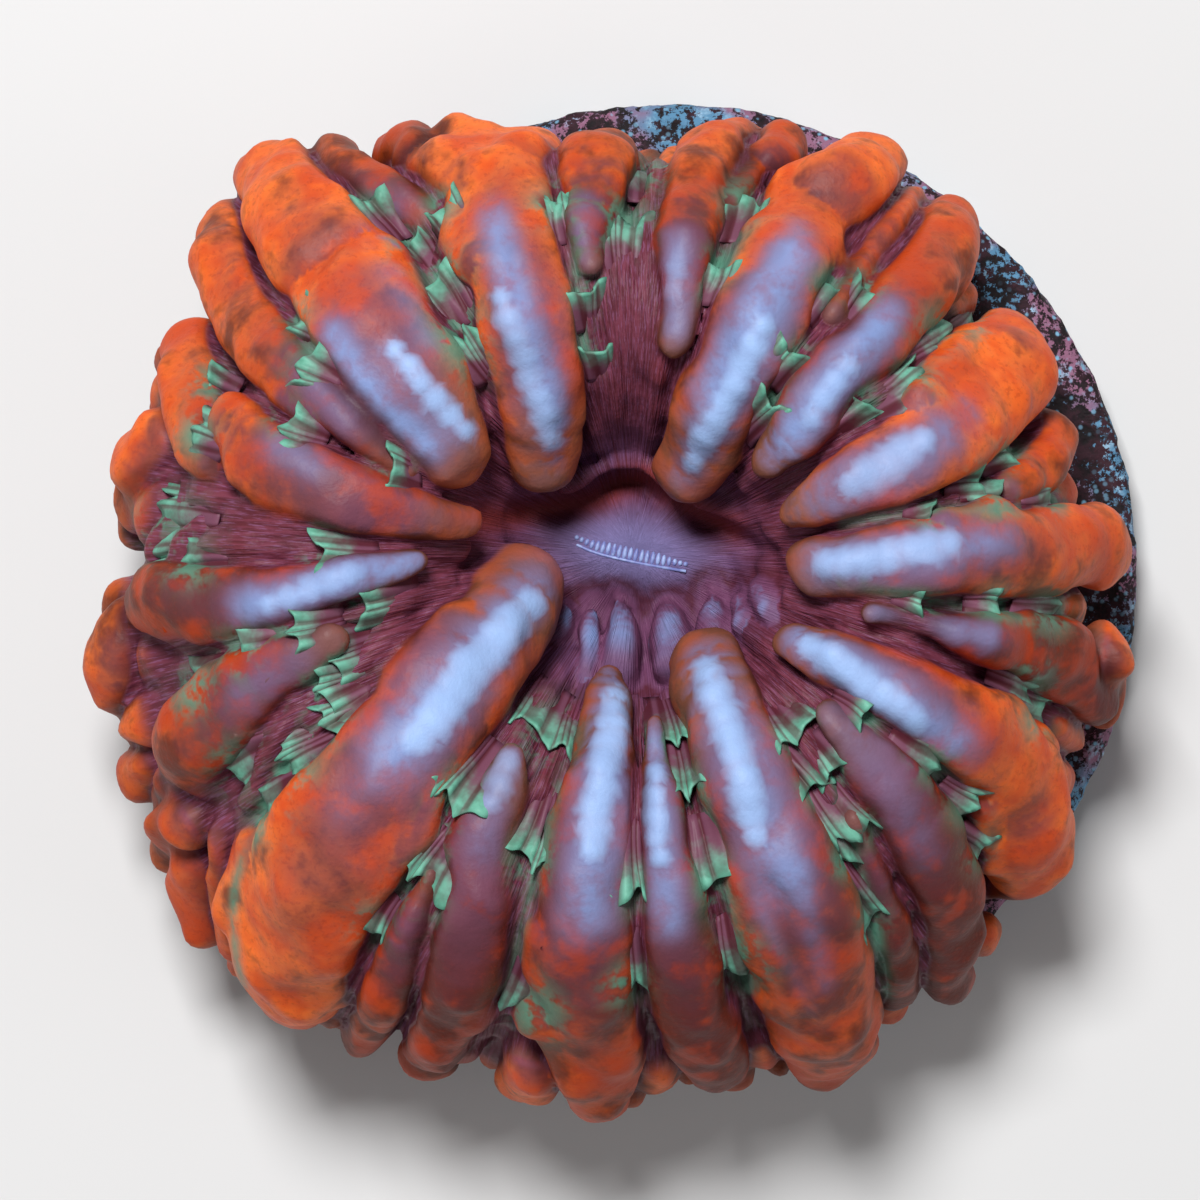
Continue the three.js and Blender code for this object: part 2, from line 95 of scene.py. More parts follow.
# The lobes that show from above. Each point is (bearing, distance from the mouth, half-width).
CROWN_LOBES = {
    "east": [(355, 10.6, 1.9), (358, 15, 2.4), (0, 20, 2.7), (1, 24.6, 2.6)],
    "east_by_north": [(14, 9.6, 1.0), (17, 13, 2.2), (20, 17.5, 2.9), (25, 22.6, 3.3)],
    "east_small": [(9, 21.5, 1.4), (13.5, 24.0, 2.3), (17.5, 24.2, 1.8)],
    "north_east": [(35, 9.6, 1.3), (39, 13, 2.3), (42, 18, 2.4), (44.5, 24.4, 2.5)],
    "north_east_slim": [(50, 17.5, 1.3), (51.5, 21, 1.9), (51.8, 24.6, 1.9)],
    "north_big": [(57, 6, 2.1), (60, 10.5, 2.7), (62, 16, 3.2), (62.5, 21, 3.1), (60, 24.8, 2.5)],
    "north_ripple": [(75, 20.8, 1.2), (73, 22.8, 1.8), (69, 24.6, 1.8)],
    "north_ridge": [(79, 12.5, 1.2), (81, 17.5, 1.9), (79.5, 22.3, 2.4)],
    "north_bulb": [(99, 16.5, 1.1), (97.5, 19.5, 2.1), (96, 21.9, 2.6)],
    "north_west_big": [
        (136, 7.6, 1.9), (121, 10.8, 2.7), (113, 15.5, 3.0), (111.5, 20.5, 2.9), (108.5, 22.2, 2.9),
    ],
    "north_west_small": [(121, 22.3, 1.4), (124, 25.6, 1.9), (128, 27.9, 1.8)],
    "west_long": [(152, 12.3, 2.6), (145, 16, 3.9), (139, 20.5, 3.8), (135.5, 25, 3.3), (133.5, 29, 2.8)],
    "west_rim": [
        (160, 13.8, 1.1), (155, 17.5, 1.9), (151.5, 21.6, 2.4), (148, 25.4, 2.5), (144.5, 28.6, 2.3),
        (140, 30.2, 1.7),
    ],
    "west_fat": [
        (168.5, 9.8, 0.9), (169.5, 12.8, 1.8), (169, 16.5, 2.7), (166.5, 20.2, 3.1), (163.5, 23.6, 2.3),
    ],
    "west_column": [(167, 24.3, 1.9), (161, 26.5, 2.2), (155.5, 28, 2.1)],
    "west_pale": [(182, 12.4, 0.8), (185, 16.9, 1.7), (187.5, 20.4, 2.0), (187, 24, 2.3), (185.5, 26.8, 2.1)],
    "south_west_mid": [(196, 18, 1.3), (198.5, 21.8, 2.2), (202.5, 26.2, 2.7)],
    "south_west_big": [
        (198, 6.8, 2.5), (215, 12.8, 3.6), (221, 18.5, 4.2), (225.5, 23.9, 4.6), (229.8, 29.1, 4.2),
        (231.7, 31.0, 3.6),
    ],
    "south_finger_a": [(238.4, 21.6, 1.1), (239.6, 25.0, 1.9), (240.4, 28.6, 1.9)],
    "south_finger_b": [(238.5, 13.5, 0.9), (241.5, 18.0, 2.0), (245.2, 22.2, 2.4), (247.0, 25.8, 2.5)],
    "south": [
        (258, 7.2, 0.9), (261.5, 10.9, 1.7), (262.3, 15, 2.6), (262.4, 19.5, 3.0), (263, 24, 3.0),
        (265.5, 29, 2.7),
    ],
    "south_slim": [
        (277, 10, 0.8), (275.3, 15, 1.5), (275.8, 20, 2.1), (276.8, 24.7, 2.3), (278.5, 28.6, 2.1),
    ],
    "south_east_big": [
        (304, 7.8, 2.2), (298, 12.5, 3.2), (296, 17.3, 3.6), (294.5, 22, 3.9), (293, 26.7, 3.7),
        (292, 29.8, 3.0),
    ],
    "south_east_slim": [(309, 19.5, 1.1), (304, 26, 1.8), (301, 29.8, 1.7)],
    "south_east_dark": [(321, 14.5, 1.3), (318, 19, 2.4), (313.5, 24.2, 2.8), (308.5, 28.3, 2.7)],
    "east_by_south": [
        (331, 10.5, 1.2), (331, 15, 2.2), (331.6, 20.2, 2.7), (329.4, 24.6, 3.1), (325.8, 28.2, 3.0),
        (320.5, 29.2, 2.5),
    ],
    "east_pale": [(346, 14, 0.9), (346.5, 20, 1.6), (346.5, 24.3, 2.4), (343.5, 27, 2.3)],
}

# Swellings on the flanks of the big lobes, by the lobe that they are part of
SHOULDERS = {
    "south_west_big": [
        [(228.5, 18.4, 1.6), (229.8, 20.6, 2.2), (231, 23, 1.9)], [(205, 11.4, 2.2), (212, 15.2, 2.4)],
        [(219.5, 27, 2.2), (222.5, 30, 2.2)], [(234, 27.4, 1.7), (236, 30.4, 1.7)],
    ],
    "west_long": [
        [(141, 25.6, 1.9), (138.5, 28.0, 2.2)], [(131.5, 22, 1.7), (130.5, 25, 1.7)],
        [(150.5, 15, 2.0), (146, 18.4, 2.2)],
    ],
    "south_east_big": [
        [(299.8, 15.5, 1.4), (299.2, 18.4, 1.8), (299, 21, 1.7)],
        [(298.5, 24.4, 1.5), (297.5, 26.6, 1.9), (296, 29, 1.6)],
    ],
    "north_west_big": [
        [(118.5, 18.6, 1.5), (117, 21.5, 1.9)], [(106, 20, 1.7), (104.5, 22.4, 1.7)],
        [(110.5, 20.4, 2.6), (113.5, 22.4, 3.1), (117, 23.9, 3.0), (121, 25.0, 2.4)],
        [(110, 21.4, 2.7), (111.5, 23.4, 2.8), (115, 24.6, 2.8)],
    ],
    "east_by_north": [[(27.5, 18, 1.5), (30, 20.6, 1.9), (30.5, 22.6, 1.6)]],
    "east_by_south": [[(324.5, 24.4, 1.6), (321, 26.6, 1.9)], [(335.5, 22, 1.6), (333, 26, 1.9)]],
    "north_big": [[(68.5, 19.4, 1.3), (66.5, 22, 1.6)], [(55.8, 19.4, 1.4), (56, 22.4, 1.7)]],
    "west_rim": [[(157.5, 19.6, 1.5), (155.5, 21.4, 1.5)]],
    "south": [[(257.6, 22, 1.5), (259.5, 26.5, 1.8)]],
    "east": [[(4.6, 17.6, 1.5), (5, 20.5, 1.6)], [(356.2, 20.5, 1.6), (357, 23.6, 1.7)]],
}

# The lobes down the side wall: (bearing, distance from the mouth, height above the foot, half-width)
WALL_LOBES = {
    "north_west_hip": [(119, 25.6, 12, 2.5), (119.5, 26.4, 8.5, 2.3), (120, 26.4, 4.8, 2.1)],
    "west_bulge": [(166, 28.2, 10.5, 2.2), (171, 28.4, 9, 2.7), (176, 27.6, 8, 2.0)],
    "west_low": [(177, 29.4, 5, 1.6), (173, 29.6, 3.6, 1.7)],
    "west_far": [(160, 28.4, 6.5, 1.9), (158, 28.8, 3.8, 1.9)],
    "south_west_fold": [(190, 27.6, 11, 2.1), (195, 27.8, 9.5, 2.3)],
    "south_west_bulge": [(187.5, 29.6, 9, 1.9), (192.5, 30.6, 7, 2.6), (197.5, 30.3, 5, 2.1)],
    "south_west_knob": [(204, 31.6, 4.6, 2.0), (203, 30.4, 7, 1.8)],
    "south_west_drop": [(211, 31.6, 6, 2.1), (212.5, 32, 3.6, 2.1)],
    "south_west_column": [(208, 29.2, 11, 2.0), (214, 31.0, 9, 2.1), (221, 32.8, 5.4, 2.1)],
    "south_west_slip": [(215, 28.8, 13, 1.5), (222, 31.4, 9.5, 1.7), (226.5, 33.0, 5, 1.7)],
    "south_toe_a": [(234, 31.8, 3, 1.8), (236, 32.2, 5, 1.7)],
    "south_toe_b": [(250, 30.2, 7.5, 1.9), (247.5, 31.9, 5, 2.2)],
    "south_toe_c": [(255.5, 29.6, 4.5, 1.8), (256, 30.4, 2.6, 1.7)],
    "south_lip": [(261, 30.0, 6, 2.1), (267.5, 30.8, 4.6, 2.7), (270, 30.2, 3.6, 2.2)],
    "south_toe_d": [(274, 29.6, 3.6, 1.7), (276, 30.2, 2.4, 1.6)],
    "south_toe_e": [(277.5, 29.6, 6.5, 1.9), (281, 30.9, 4, 2.0)],
    "south_toe_f": [(284, 29.6, 5.5, 1.5), (285.5, 30.6, 3, 1.7)],
    "south_toe_g": [(290, 30.6, 3.2, 1.7), (288, 29.8, 5, 1.5)],
    "south_east_toe_a": [(299.5, 30.2, 3.2, 1.8), (301, 29.8, 6, 1.7)],
    "south_east_toe_b": [(312, 30.4, 4.6, 1.8), (310, 29.6, 7.5, 1.8)],
    "south_east_curl": [(321.5, 29.0, 7, 2.2), (318, 28.4, 4.6, 1.9)],
    "east_hip": [(347, 27.8, 9, 2.3), (343, 28.6, 6, 2.2)],
    "north_curtain_a": [(84, 19.6, 14, 1.5), (83, 22.0, 9, 1.9), (82.5, 22.1, 3.2, 1.7)],
    "north_curtain_b": [(88, 21.3, 7.4, 1.6), (88.5, 22.1, 2.4, 1.6)],
    "north_curtain_c": [(98.5, 21.9, 8, 1.9), (98.5, 22.0, 2.6, 1.8)],
    "east_south_hip": [(331, 26.6, 9, 2.3), (331, 27.2, 6, 2.3), (332, 27.0, 3.4, 2.1)],
}

# How the crown lobes run on down the wall: (bearing, distance, height above the foot, half-width).
# A lobe that does loses its own points beyond the ring where the wall begins.
WALL_RING = 26.6
RUNS_DOWN = {
    "east": [(1, 26.3, 10, 2.5), (0.5, 27, 6.5, 2.2), (0, 26.8, 3.6, 2.0)],
    "east_by_north": [(28, 24.3, 11.5, 2.7), (29, 24.9, 8, 2.3), (30, 24.8, 5, 2.1)],
    "north_east": [(44, 23.4, 14.4, 2.6), (45.5, 25.7, 10.5, 2.4), (46, 26.2, 7, 2.2), (46, 26.0, 4.5, 2.1)],
    "north_east_slim": [(51.8, 23.8, 13.4, 1.8), (52, 25.4, 9, 1.8), (52, 25.8, 6, 1.8)],
    "north_big": [(60.5, 24.0, 14.8, 2.8), (59, 25.7, 10.8, 2.5), (58, 26.2, 7, 2.3), (57, 25.8, 4.5, 2.1)],
    "north_ripple": [(70, 23.9, 12.4, 1.9), (70, 25.0, 9, 1.8)],
    "north_ridge": [(78, 23.4, 11.5, 2.3), (75, 24.3, 7.5, 2.1), (74, 24.2, 4.5, 2.0)],
    "north_bulb": [(93, 21.6, 11, 2.2), (90, 21.6, 7, 2.1)],
    "north_west_big": [
        (107.5, 22.6, 15, 2.9), (106, 23.2, 11.5, 2.6), (105.5, 23.4, 8, 2.4), (106, 23.4, 4.8, 2.2),
    ],
    "north_west_small": [(127, 27.0, 13, 1.9), (128, 28.8, 9, 1.8), (128, 29.0, 6, 1.7)],
    "west_long": [
        (136.6, 24.2, 16.4, 3.7), (134.4, 27.8, 12.6, 3.2), (133.6, 30.0, 8.2, 2.7), (135, 30.0, 4, 2.3),
    ],
    "west_rim": [(146, 27.6, 11.6, 2.4), (142.6, 29.6, 8.6, 2.2), (140.5, 30.3, 5, 2.0)],
    "west_pale": [(187, 28.6, 9.5, 2.0), (188, 29.4, 7, 1.9)],
    "south_west_mid": [(206, 28.6, 11, 2.4), (209, 30.4, 7, 2.2)],
    "south_west_big": [(231.4, 30.6, 9.4, 3.8), (232, 31.8, 4.6, 3.2)],
    "south_finger_a": [(240.3, 31.4, 6.6, 1.9), (240, 32.2, 3.2, 1.7)],
    "south_finger_b": [(247.8, 29.8, 10.5, 2.3), (247.6, 31.6, 6, 2.1)],
    "south": [(266, 30.6, 9, 2.5), (266.5, 31.2, 5, 2.3)],
    "south_slim": [(279.5, 30.2, 8, 1.9), (280.5, 30.8, 5, 1.9)],
    "south_east_big": [(292, 29.9, 9, 3.2), (291.5, 30.9, 5, 2.8)],
    "south_east_dark": [(307.4, 30.0, 7, 2.4), (307, 30.2, 4, 2.1)],
    "east_by_south": [(325.8, 27.3, 11.6, 3.1), (322.4, 28.9, 8.4, 2.7), (320, 29.0, 4.8, 2.3)],
    "east_pale": [(343, 28.4, 7.5, 2.2)],
}

# The edge of flesh that hangs over the basin: (bearing, distance, height above the foot, half-width)
BASIN_LIPS = {
    "north_lip": [
        (137, 5.6, 13.2, 0.8), (115, 5.3, 13.4, 0.9), (97, 5.5, 13.7, 1.0), (82, 5.2, 13.5, 0.9),
        (68, 4.6, 13.2, 0.8),
    ],
    "east_lip": [(40, 5.0, 13.2, 0.8), (24, 6.2, 13.3, 0.9), (12, 7.6, 13.5, 0.9)],
    "west_lip": [(172, 11.2, 13.7, 0.9), (157, 8.9, 13.3, 0.9), (147, 6.8, 13.2, 0.8)],
}

# Low folds of flesh between the lobes: (bearing, distance, half-width), standing a little over the body
FOLD_RISE = 1.3
FOLDS = {
    "north_a": [(107.0, 5.1, 0.7), (103.4, 8.4, 0.8), (101.7, 11.9, 0.8), (100.3, 14.8, 0.8)],
    "north_b": [(97.0, 5.7, 0.7), (96.3, 9.4, 0.9), (96.1, 13.5, 0.9), (95.7, 17.2, 0.9)],
    "north_c": [(88.8, 5.6, 0.7), (89.7, 9.7, 0.9), (90.9, 14.0, 1.0), (91.9, 17.7, 1.0)],
    "north_d": [(81.4, 5.4, 0.7), (84.4, 9.4, 0.9), (86.7, 14.0, 1.0), (88.6, 18.3, 1.0)],
    "north_e": [(88.6, 18.9, 0.9), (86.4, 20.9, 0.9), (85.9, 22.4, 0.9)],
    "west_a": [(178.4, 10.2, 0.6), (177.0, 14.5, 0.9), (175.7, 19.1, 0.9), (175.2, 22.9, 0.9)],
    "west_b": [(179.4, 17.4, 0.8), (178.8, 21.4, 0.9), (179.3, 24.8, 0.9)],
    "west_c": [(172.8, 22.1, 0.9), (172.9, 24.7, 0.9), (174.7, 26.7, 0.9)],
    "west_d": [(173.2, 25.9, 0.9), (177.2, 26.9, 0.9), (182.6, 27.8, 0.9)],
    "west_e": [(175.6, 24.9, 0.8), (180.3, 25.9, 0.8), (184.6, 26.8, 0.8)],
    "south_west_a": [(191.5, 10.7, 0.6), (191.7, 14.2, 0.8), (193.0, 18.4, 0.8), (195.8, 20.4, 0.8)],
    "south_west_b": [(199.6, 12.3, 0.7), (201.1, 15.5, 0.9), (205.1, 18.5, 0.9), (207.4, 20.8, 0.9)],
    "south_west_c": [(204.8, 14.7, 0.7), (207.5, 18.3, 0.8), (210.8, 21.5, 0.8), (214.3, 24.2, 0.8)],
    "south_west_d": [(203.9, 20.9, 0.8), (208.0, 22.9, 0.9), (211.5, 24.9, 0.9), (212.9, 26.1, 0.9)],
    "south_a": [(242.0, 7.0, 0.8), (239.4, 9.8, 1.0), (238.2, 13.3, 1.0), (240.1, 16.4, 1.0)],
    "south_b": [(251.7, 7.7, 0.7), (249.3, 10.9, 0.8), (249.8, 14.5, 0.8)],
    "south_c": [(270, 9.0, 0.6), (269, 13.0, 0.8), (269, 17.5, 0.8)],
    "south_d": [(284.5, 8.5, 0.6), (285.5, 12.5, 0.8), (284.5, 17, 0.9)],
    "south_east_a": [(312, 8.3, 0.8), (313.1, 10.8, 1.0), (311.9, 14.4, 1.0), (307.3, 17.8, 1.0)],
    "south_east_b": [(328.2, 7.3, 0.7), (321.2, 11.7, 0.8), (318.0, 16.1, 0.8)],
    "east_a": [(9.5, 8.0, 0.7), (11.2, 12.8, 0.8), (9.5, 18.5, 0.8)],
    "east_b": [(343.4, 9.5, 0.8), (346.0, 14.7, 1.0), (347.6, 19.3, 1.0), (347.4, 22.9, 1.0)],
    "north_east_a": [(32.9, 7.7, 0.7), (33.9, 11.6, 0.8), (34.2, 15.1, 0.8), (32.1, 18.2, 0.8)],
    "north_east_b": [(51.5, 5.4, 0.7), (50.9, 9.8, 0.8), (51.0, 13.5, 0.8), (50.8, 18.0, 0.8)],
}

# The skirt of small lobes round the foot
SKIRT_COUNT = 26
SKIRT_TOP = 9.5
SKIRT_BOTTOM = 2.2
SKIRT_HALF_WIDTH = 2.4
SKIRT_INSET = 2.6
SKIRT_TUCK = 2.0
SKIRT_TUCK_TURN = 86
SKIRT_TUCK_SPREAD = 14

# The body draws in behind the lobes of the far wall
WALL_DENT = 1.7
WALL_DENT_TURN = 91
WALL_DENT_SPREAD = 15

# Painted shade in the hollow under the lips of flesh on the far side of the basin: points, then half-width
# and strength
CAVITY_SHADES = [

    (
        [
            (170, 10.5), (165, 7.8), (152, 5.6), (128, 3.8), (100, 4.0), (80, 4.5), (60, 4.1), (35, 4.4),
            (14, 6.0),
        ],
        0.8, 1.0,
    ),
]

# The tongues that reach into the basin: (bearing, distance, height of the crest over the floor, half-width)
TONGUES = [
    [(251, 2.9, 0.5, 0.55), (256, 4.0, 1.7, 1.15), (261, 5.4, 2.6, 1.55), (262, 6.6, 2.9, 1.5)],
    [(303, 3.7, 0.5, 0.55), (297, 4.6, 1.7, 1.1), (291, 5.7, 2.5, 1.45), (288, 6.8, 2.8, 1.35)],
    [(334, 5.0, 0.5, 0.5), (326, 5.6, 1.5, 1.0), (317, 6.3, 2.1, 1.2), (312, 7.2, 2.3, 1.1)],
    [(337.5, 6.4, 0.5, 0.5), (332, 6.9, 1.4, 0.9), (326, 7.5, 1.9, 1.15)],
    [(344, 7.3, 0.4, 0.4), (341, 7.8, 1.1, 0.8), (337, 8.5, 1.5, 1.0)],

    [
        (232, 3.7, 0.4, 0.5), (238, 4.3, 1.3, 0.8), (243, 5.2, 2.0, 1.05), (246, 6.3, 2.3, 1.1),
        (248, 7.8, 1.8, 1.1),
    ],
    [(280.8, 4.6, 0.3, 0.4), (280.8, 5.3, 1.1, 0.6), (280.8, 6.3, 1.6, 0.7)],
    [(222, 5.0, 0.3, 0.4), (228, 6.2, 1.0, 0.6)],
]

# How orange each lobe is, at its inner and outer end; the low tones of the southern lobes are partly painted
# shade, as that side gets less light. The rest are the plain tone.
PLAIN_TONE = (0.72, 0.85)
UNTOUCHED_TONE = 0.5
LOBE_TONES = {
    "east": (0.6, 0.8), "east_by_north": (0.75, 0.98), "east_small": (0.6, 0.72), "north_east": (0.55, 0.76),
    "north_east_slim": (0.62, 0.85), "north_big": (0.66, 0.92), "north_ripple": (0.45, 0.7),
    "north_ridge": (0.35, 0.8), "north_bulb": (0.35, 0.72), "north_west_big": (0.7, 1.0),
    "north_west_hip": (0.8, 0.7), "north_west_small": (0.5, 0.7), "west_long": (0.78, 1.0),
    "west_rim": (0.45, 0.85), "west_fat": (0.66, 0.76), "west_column": (0.7, 0.8), "west_pale": (0.4, 0.6),
    "west_bulge": (0.9, 0.95), "south_west_mid": (0.5, 0.66), "south_west_big": (0.64, 1.0),
    "south_finger_a": (0.4, 0.65), "south_finger_b": (0.3, 0.52), "south": (0.52, 0.66),
    "south_slim": (0.35, 0.42),
    "south_east_big": (0.6, 0.68), "south_east_slim": (0.3, 0.4), "south_east_dark": (0.22, 0.4),
    "east_by_south": (0.6, 0.88), "east_pale": (0.3, 0.55),
}

# The white beaded streaks on the crests: points (bearing, distance), then half-width and strength
STREAKS = [
    ([(356, 10.2), (358, 13), (1, 16.5), (2, 19)], 0.75, 0.75),
    ([(17, 12.2), (19, 14.5), (21.5, 17.8)], 0.85, 0.7),
    ([(36.5, 12), (39.5, 14.5), (41.5, 16.7)], 0.5, 0.65),
    ([(57.5, 5.6), (58.5, 9), (59.5, 12.5), (60, 15.6)], 0.62, 0.95),
    ([(82, 14.4), (82, 16.4)], 0.5, 0.3),
    ([(127, 7.4), (123, 10), (119.5, 14), (118, 16.6)], 0.55, 0.75),
    ([(144.5, 11.2), (142, 14.5), (139.5, 18.6)], 0.5, 0.9),
    ([(184, 15.6), (186.5, 18.5), (188, 21)], 0.6, 0.6),
    ([(206, 6.2), (213, 9.4), (218.5, 13.5), (222, 17)], 1.0, 0.95),
    ([(238.5, 13.4), (239.5, 16.6)], 0.7, 0.5),
    ([(264, 8), (262.5, 11.5), (261.5, 14.5), (262, 17)], 0.85, 0.85),
    ([(275.5, 12), (274.5, 15), (274.5, 17.8)], 0.5, 0.8),
    ([(302.5, 7.4), (298, 11), (295, 14.8), (293, 18)], 0.75, 0.9),
    ([(332.5, 10.8), (331, 14), (329.5, 17), (328.5, 19.4)], 0.7, 0.9),
]
STREAK_BEAD = 1.2
STREAK_RISE = 0.34

# The soft lavender clouds on the crests: points (bearing, distance), then half-width and strength
HAZES = [
    ([(357, 11), (0, 16), (2, 21)], 1.7, 0.7), ([(17, 11.5), (20, 17), (22, 20)], 2.0, 0.6),
    ([(36, 10.5), (40, 14.5), (43, 19.5)], 1.6, 0.9), ([(58, 6), (59, 12), (61, 19)], 1.7, 0.75),
    ([(66, 9.6), (64.5, 15), (63, 20.4)], 1.2, 0.75), ([(80, 13), (82, 17.5)], 1.2, 0.6),
    ([(101, 17), (98, 20)], 1.0, 0.4), ([(123, 7), (117, 12), (114.5, 17), (113, 20.5)], 1.3, 0.85),
    ([(153, 13.2), (149, 17), (144.5, 21)], 1.3, 0.9), ([(145.5, 12), (141, 18)], 0.9, 0.55),
    ([(132, 17), (129, 21), (127, 24)], 1.5, 0.7),
    ([(165, 19), (163, 21)], 1.4, 0.5), ([(155, 18), (152, 21)], 1.1, 0.4),
    ([(183, 13), (186, 18), (188, 22)], 1.6, 0.85), ([(198, 20), (200, 24)], 1.2, 0.35),
    ([(205, 6.6), (214, 11), (220, 17.5)], 2.1, 0.85), ([(219, 16), (221, 20), (222, 22)], 1.6, 0.3),
    ([(239, 13), (241, 17), (243, 19)], 1.3, 0.45), ([(263, 8), (262, 14), (262.5, 20.5)], 1.9, 0.8),
    ([(275.5, 11), (275, 18), (275.5, 21)], 1.3, 0.75), ([(302, 8), (297, 14), (294.5, 20)], 2.0, 0.75),
    ([(320, 15), (317, 20), (314, 24)], 1.5, 0.35), ([(332, 11), (330.5, 16), (328.5, 21.5)], 1.8, 0.8),
    ([(346, 14.5), (346.5, 21)], 1.3, 0.6), ([(297, 20), (294, 27)], 0.8, 0.45),
    ([(289, 21), (291, 28)], 0.6, 0.35),
]

# Thin green lines low on the sides of lobes: points (bearing, distance), then half-width and strength
VEINS = [
    ([(310, 15), (308.6, 17.5), (306, 20.9), (304, 23.6), (301.4, 27.4), (300, 29.7)], 0.4, 0.9),
    ([(210, 21.5), (213, 24.6), (216.4, 26.6), (219.3, 29.6), (224, 32.2), (227.9, 34)], 0.3, 0.9),
    ([(70, 20), (73, 17), (77, 14.5)], 0.4, 0.5), ([(104, 12), (101, 17), (100, 20)], 0.4, 0.6),
    ([(352, 11), (351, 17), (350, 23)], 0.35, 0.6), ([(8, 12), (8, 17), (6, 22)], 0.35, 0.5),
    ([(286, 14), (285, 20), (284.5, 26)], 0.35, 0.6), ([(252, 14), (253, 20), (254, 26)], 0.35, 0.5),
]

# Grooves pressed into the crests: points (bearing, distance), then half-width and depth
GROOVES = [
    ([(292.2, 20.5), (291.5, 24), (290.5, 28.5)], 0.45, 0.5),
    ([(113.5, 16), (111, 20)], 0.4, 0.3),
    ([(217.5, 20), (222, 25)], 0.6, 0.25),
    ([(161, 7.0), (147, 4.9), (122, 3.8)], 0.55, 1.3),
    ([(116, 4.2), (98, 4.2), (82, 4.0), (66, 3.3)], 0.5, 1.3),
    ([(24, 4.2), (12, 5.6), (4, 7.0)], 0.5, 1.2),
    ([(212, 4.2), (222, 4.5)], 0.3, 0.6),
]

# The green pleated frills: (bearing, distance of the free edge, half-width, reach towards the mouth)
FRILLS = [
    (93, 19.7, 1.7, 4), (88, 22.5, 1.0, 2.4), (74, 17.5, 1.0, 3), (73, 21.5, 1.2, 3), (55, 19.5, 0.9, 3),
    (48.5, 20.5, 0.9, 2.6), (52, 14.9, 0.9, 2.8), (48, 12, 0.9, 3), (37, 22.6, 1.6, 4),
    (33.5, 24.5, 1.0, 2.2),
    (31, 19.4, 1.2, 3.6), (34, 16, 1.0, 3), (15, 22.8, 0.9, 2.6), (12, 20.7, 0.9, 2.6), (8, 21.6, 1.0, 3),
    (6.5, 17.3, 0.7, 2), (7, 25, 0.9, 2.6), (352, 25, 1.4, 3.2), (352, 21.5, 0.9, 2.6), (350, 17, 0.9, 2.2),
    (342.5, 24.8, 1.2, 3.6), (337.5, 26, 1.2, 3.2), (324.6, 21.4, 1.2, 3.6), (322.5, 24.7, 1.2, 2.8),
    (319, 27, 1.0, 2.4),
    (324, 16.5, 0.9, 2.6), (312.5, 17.4, 1.0, 3), (312, 14.4, 1.3, 3), (308.2, 21, 1.1, 4.2),
    (303, 26, 0.8, 4.6),
    (306, 17.6, 1.0, 4), (303.6, 22, 0.8, 4), (283, 14.6, 1.2, 4), (281.5, 20.3, 1.9, 5), (285.3, 25, 1.6, 4),
    (267, 20.2, 1.5, 5), (268, 25.5, 1.3, 4), (251.5, 19.4, 1.4, 5), (258, 27.7, 1.8, 4),
    (233.5, 18.3, 2.1, 5),
    (238.5, 23, 2.0, 4), (234, 26.6, 1.3, 3), (244, 12.3, 1.7, 3.4), (281, 11.5, 1.1, 3), (199, 19, 1.7, 3.6),
    (204.5, 20, 1.7, 3.2), (213, 24, 2.0, 4), (208, 26.5, 1.5, 3), (216, 26, 1.6, 3), (195.5, 23.6, 1.7, 3),
    (197.5, 27, 1.5, 3), (130, 16.3, 2.3, 3.6), (124, 20, 1.5, 4), (119, 23.3, 0.9, 3),
    (126.5, 22.4, 1.0, 2.6),
    (126.5, 26.3, 1.0, 4), (101, 21, 1.2, 2.8), (104.5, 21, 1.1, 3), (101, 15.5, 0.9, 2.6), (101, 12, 0.7, 2),
    (144.5, 23.8, 1.0, 2.6), (150, 22, 1.3, 2.8), (160, 21.5, 1.3, 3), (158.5, 27, 1.0, 2.4),
    (165, 26.5, 1.2, 2.6),
    (161, 15, 0.9, 2.2), (177, 28.0, 2.0, 4), (181.5, 26.2, 1.4, 3), (190.5, 16.5, 1.0, 4),
    (193, 20.5, 1.2, 3.6),
    (180.5, 18.5, 1.0, 4), (210, 20.5, 1.2, 3),
]
FRILL_THICKNESS = 0.14
FRILL_TUCK = 0.35
FRILL_LIFT = 0.7
FRILL_CLIMB = 1.2
FRILL_SINK = 0.7
FRILL_ROOT = 0.45
FRILL_PLEAT = 0.7
FRILL_DEPTH = 0.13
FRILL_ROWS = 11

# The swelling of the lips, and the mouth's slit: the comb's foot line and its top line, both (x, y)
MOUND_RISE = 0.9
MOUND_MIDDLE = (-2.1, 1.4)
MOUND_TURN = -8
MOUND_LENGTH = 4.3
MOUND_WIDTH = 2.1
MOUTH_LIP = [(-5.5, 2.1), (-4.5, 1.5), (-2.6, 0.95), (-0.35, 0.66), (1.2, 0.6)]
MOUTH_COMB = [(-5.15, 2.3), (-3.9, 1.95), (-1.95, 1.55), (-0.3, 1.1), (0.85, 0.72)]
COMB_TEETH = 21
TOOTH_LENGTH = 0.85
TOOTH_HALF_WIDTH = 0.14
LIP_HALF_WIDTH = 0.09

# The camera looks straight down
CAMERA_PLACE = (-3.97, -1.44, 405.0)
CAMERA_LENS = 199.55

# The studio: each light's name, place in metres, width and power
LIGHTS = [
    ("top", (-0.08, 0.24, 0.56), 0.16, 4.4),
    ("side", (0.55, -0.12, 0.34), 0.4, 0.55),
    ("other_side", (-0.5, -0.35, 0.32), 0.4, 0.7),
]
WORLD_STRENGTH = 0.14
FLOOR_REACH = 900


# Shape helpers


def polar(bearing, distance):
    turn = np.radians(bearing)
    return MOUTH + distance * np.array([np.cos(turn), np.sin(turn)])


